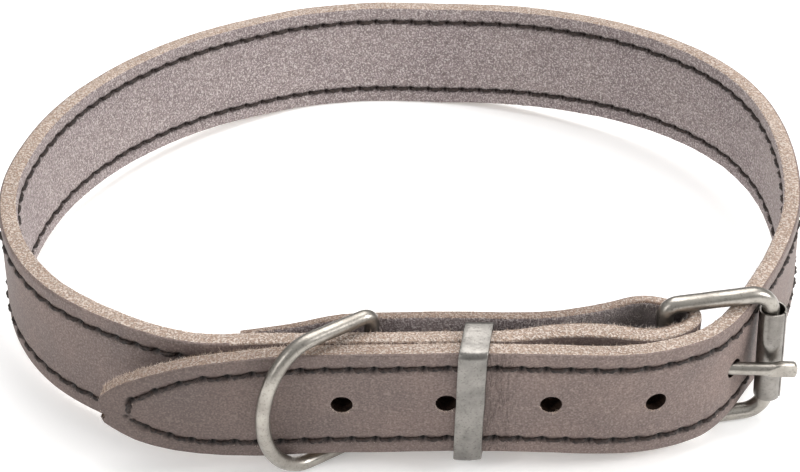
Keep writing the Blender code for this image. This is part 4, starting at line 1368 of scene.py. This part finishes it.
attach(ring, "ring")
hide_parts("d_ring")
print("ring", sizes_mm(ring))

# %% [markdown]
# ## Keeper
# A strip of flat metal bent round the free end and the layer behind it, with its ends butted at
# the back. It is drawn as a rounded oblong, pulled out to the strip's width, and given its wall. Bevels
# break the sheared edges.

# %% Keeper
KEEPER_AT = 0.1512 * HALF_ACROSS
KEEPER_WIDE = 5.2 * MM
KEEPER_WALL = 0.8 * MM
CLEAR = GAP + 0.2 * MM
near = np.flatnonzero(np.abs(WAY[:, 0] - KEEPER_AT) < KEEPER_WIDE / 2)
layers = np.split(near, np.flatnonzero(np.diff(near) > 1) + 1)
outer_layer, inner_layer = sorted(layers, key=lambda layer: WAY[layer, 1].min())[:2]
lean_there = WAY[outer_layer, 3].mean()
front = (WAY[outer_layer, 1] - WAY[outer_layer, 4] / 2).min() - CLEAR
back = (WAY[inner_layer, 1] + WAY[inner_layer, 4] / 2).max() + CLEAR
low = min(WAY[outer_layer, 2].min(), WAY[inner_layer, 2].min()) - CLEAR
high = max(WAY[outer_layer, 2].max(), WAY[inner_layer, 2].max()) + WIDTH + CLEAR
inner = 0.75 * MM
outline = []
for cy, cz, start in (
    (back - inner, high - inner, 0),
    (front + inner, high - inner, 90),
    (front + inner, low + inner, 180),
    (back - inner, low + inner, 270),
):
    outline += [(0.0, cy + p[0], cz + p[2]) for p in arc((0, 0), inner, start, start + 90, 6)]
outline = with_straights(outline, 1.0 * MM)
strip = bpy.data.meshes.new("keeper_band")
count = len(outline)
strip.from_pydata(outline, [(k, (k + 1) % count) for k in range(count)], [])
keeper = link_mesh("keeper_band", strip)
keeper.data.transform(Matrix.Translation((KEEPER_AT - KEEPER_WIDE / 2, 0, 0)))
activate(keeper)
bpy.ops.object.mode_set(mode="EDIT")
bpy.ops.mesh.select_all(action="SELECT")
for _ in range(5):
    bpy.ops.mesh.extrude_region_move(TRANSFORM_OT_translate={"value": (KEEPER_WIDE / 5, 0, 0)})
bpy.ops.mesh.select_all(action="SELECT")
bpy.ops.mesh.normals_make_consistent(inside=False)
bpy.ops.object.mode_set(mode="OBJECT")
centre = Vector((KEEPER_AT, (front + back) / 2, (low + high) / 2))
normals_out = sum(p.normal.dot(p.center - centre) for p in keeper.data.polygons) > 0
outwards = 1.0 if normals_out else -1.0
apply_modifier(keeper, "wall", "SOLIDIFY", thickness=KEEPER_WALL, offset=outwards)
co = points_of(keeper)
edge_share = np.abs(co[:, 0] - KEEPER_AT) / (KEEPER_WIDE / 2)
bow = 0.28 * MM * (1 - edge_share**2)
in_front = co[:, 1] < (front + back) / 2 - 1 * MM
co[:, 1] -= np.where(in_front, bow, 0)
co[:, 0] += 0.06 * MM * wave(co[:, 2], 5, (13, 7))
set_points(keeper, co)
apply_modifier(keeper, "sheared_edges", "BEVEL", width=0.16 * MM, **SHARP_CORNERS)
SLANT_BACK, SLANT_UP = 0.16, 0.022
slant = Matrix.Identity(4)
slant[0][1], slant[0][2] = SLANT_BACK, SLANT_UP
tilt = Matrix.Rotation(math.atan(lean_there / WIDTH), 4, "X") @ slant
keeper.data.transform(Matrix.Translation(SHIFT) @ about(centre, tilt))
join_doubles(keeper)
keeper.data.materials.append(keeper_nickel)
bpy.ops.object.shade_smooth_by_angle(angle=math.radians(40))
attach(keeper, "collar")
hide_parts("keeper")
print("keeper", sizes_mm(keeper))
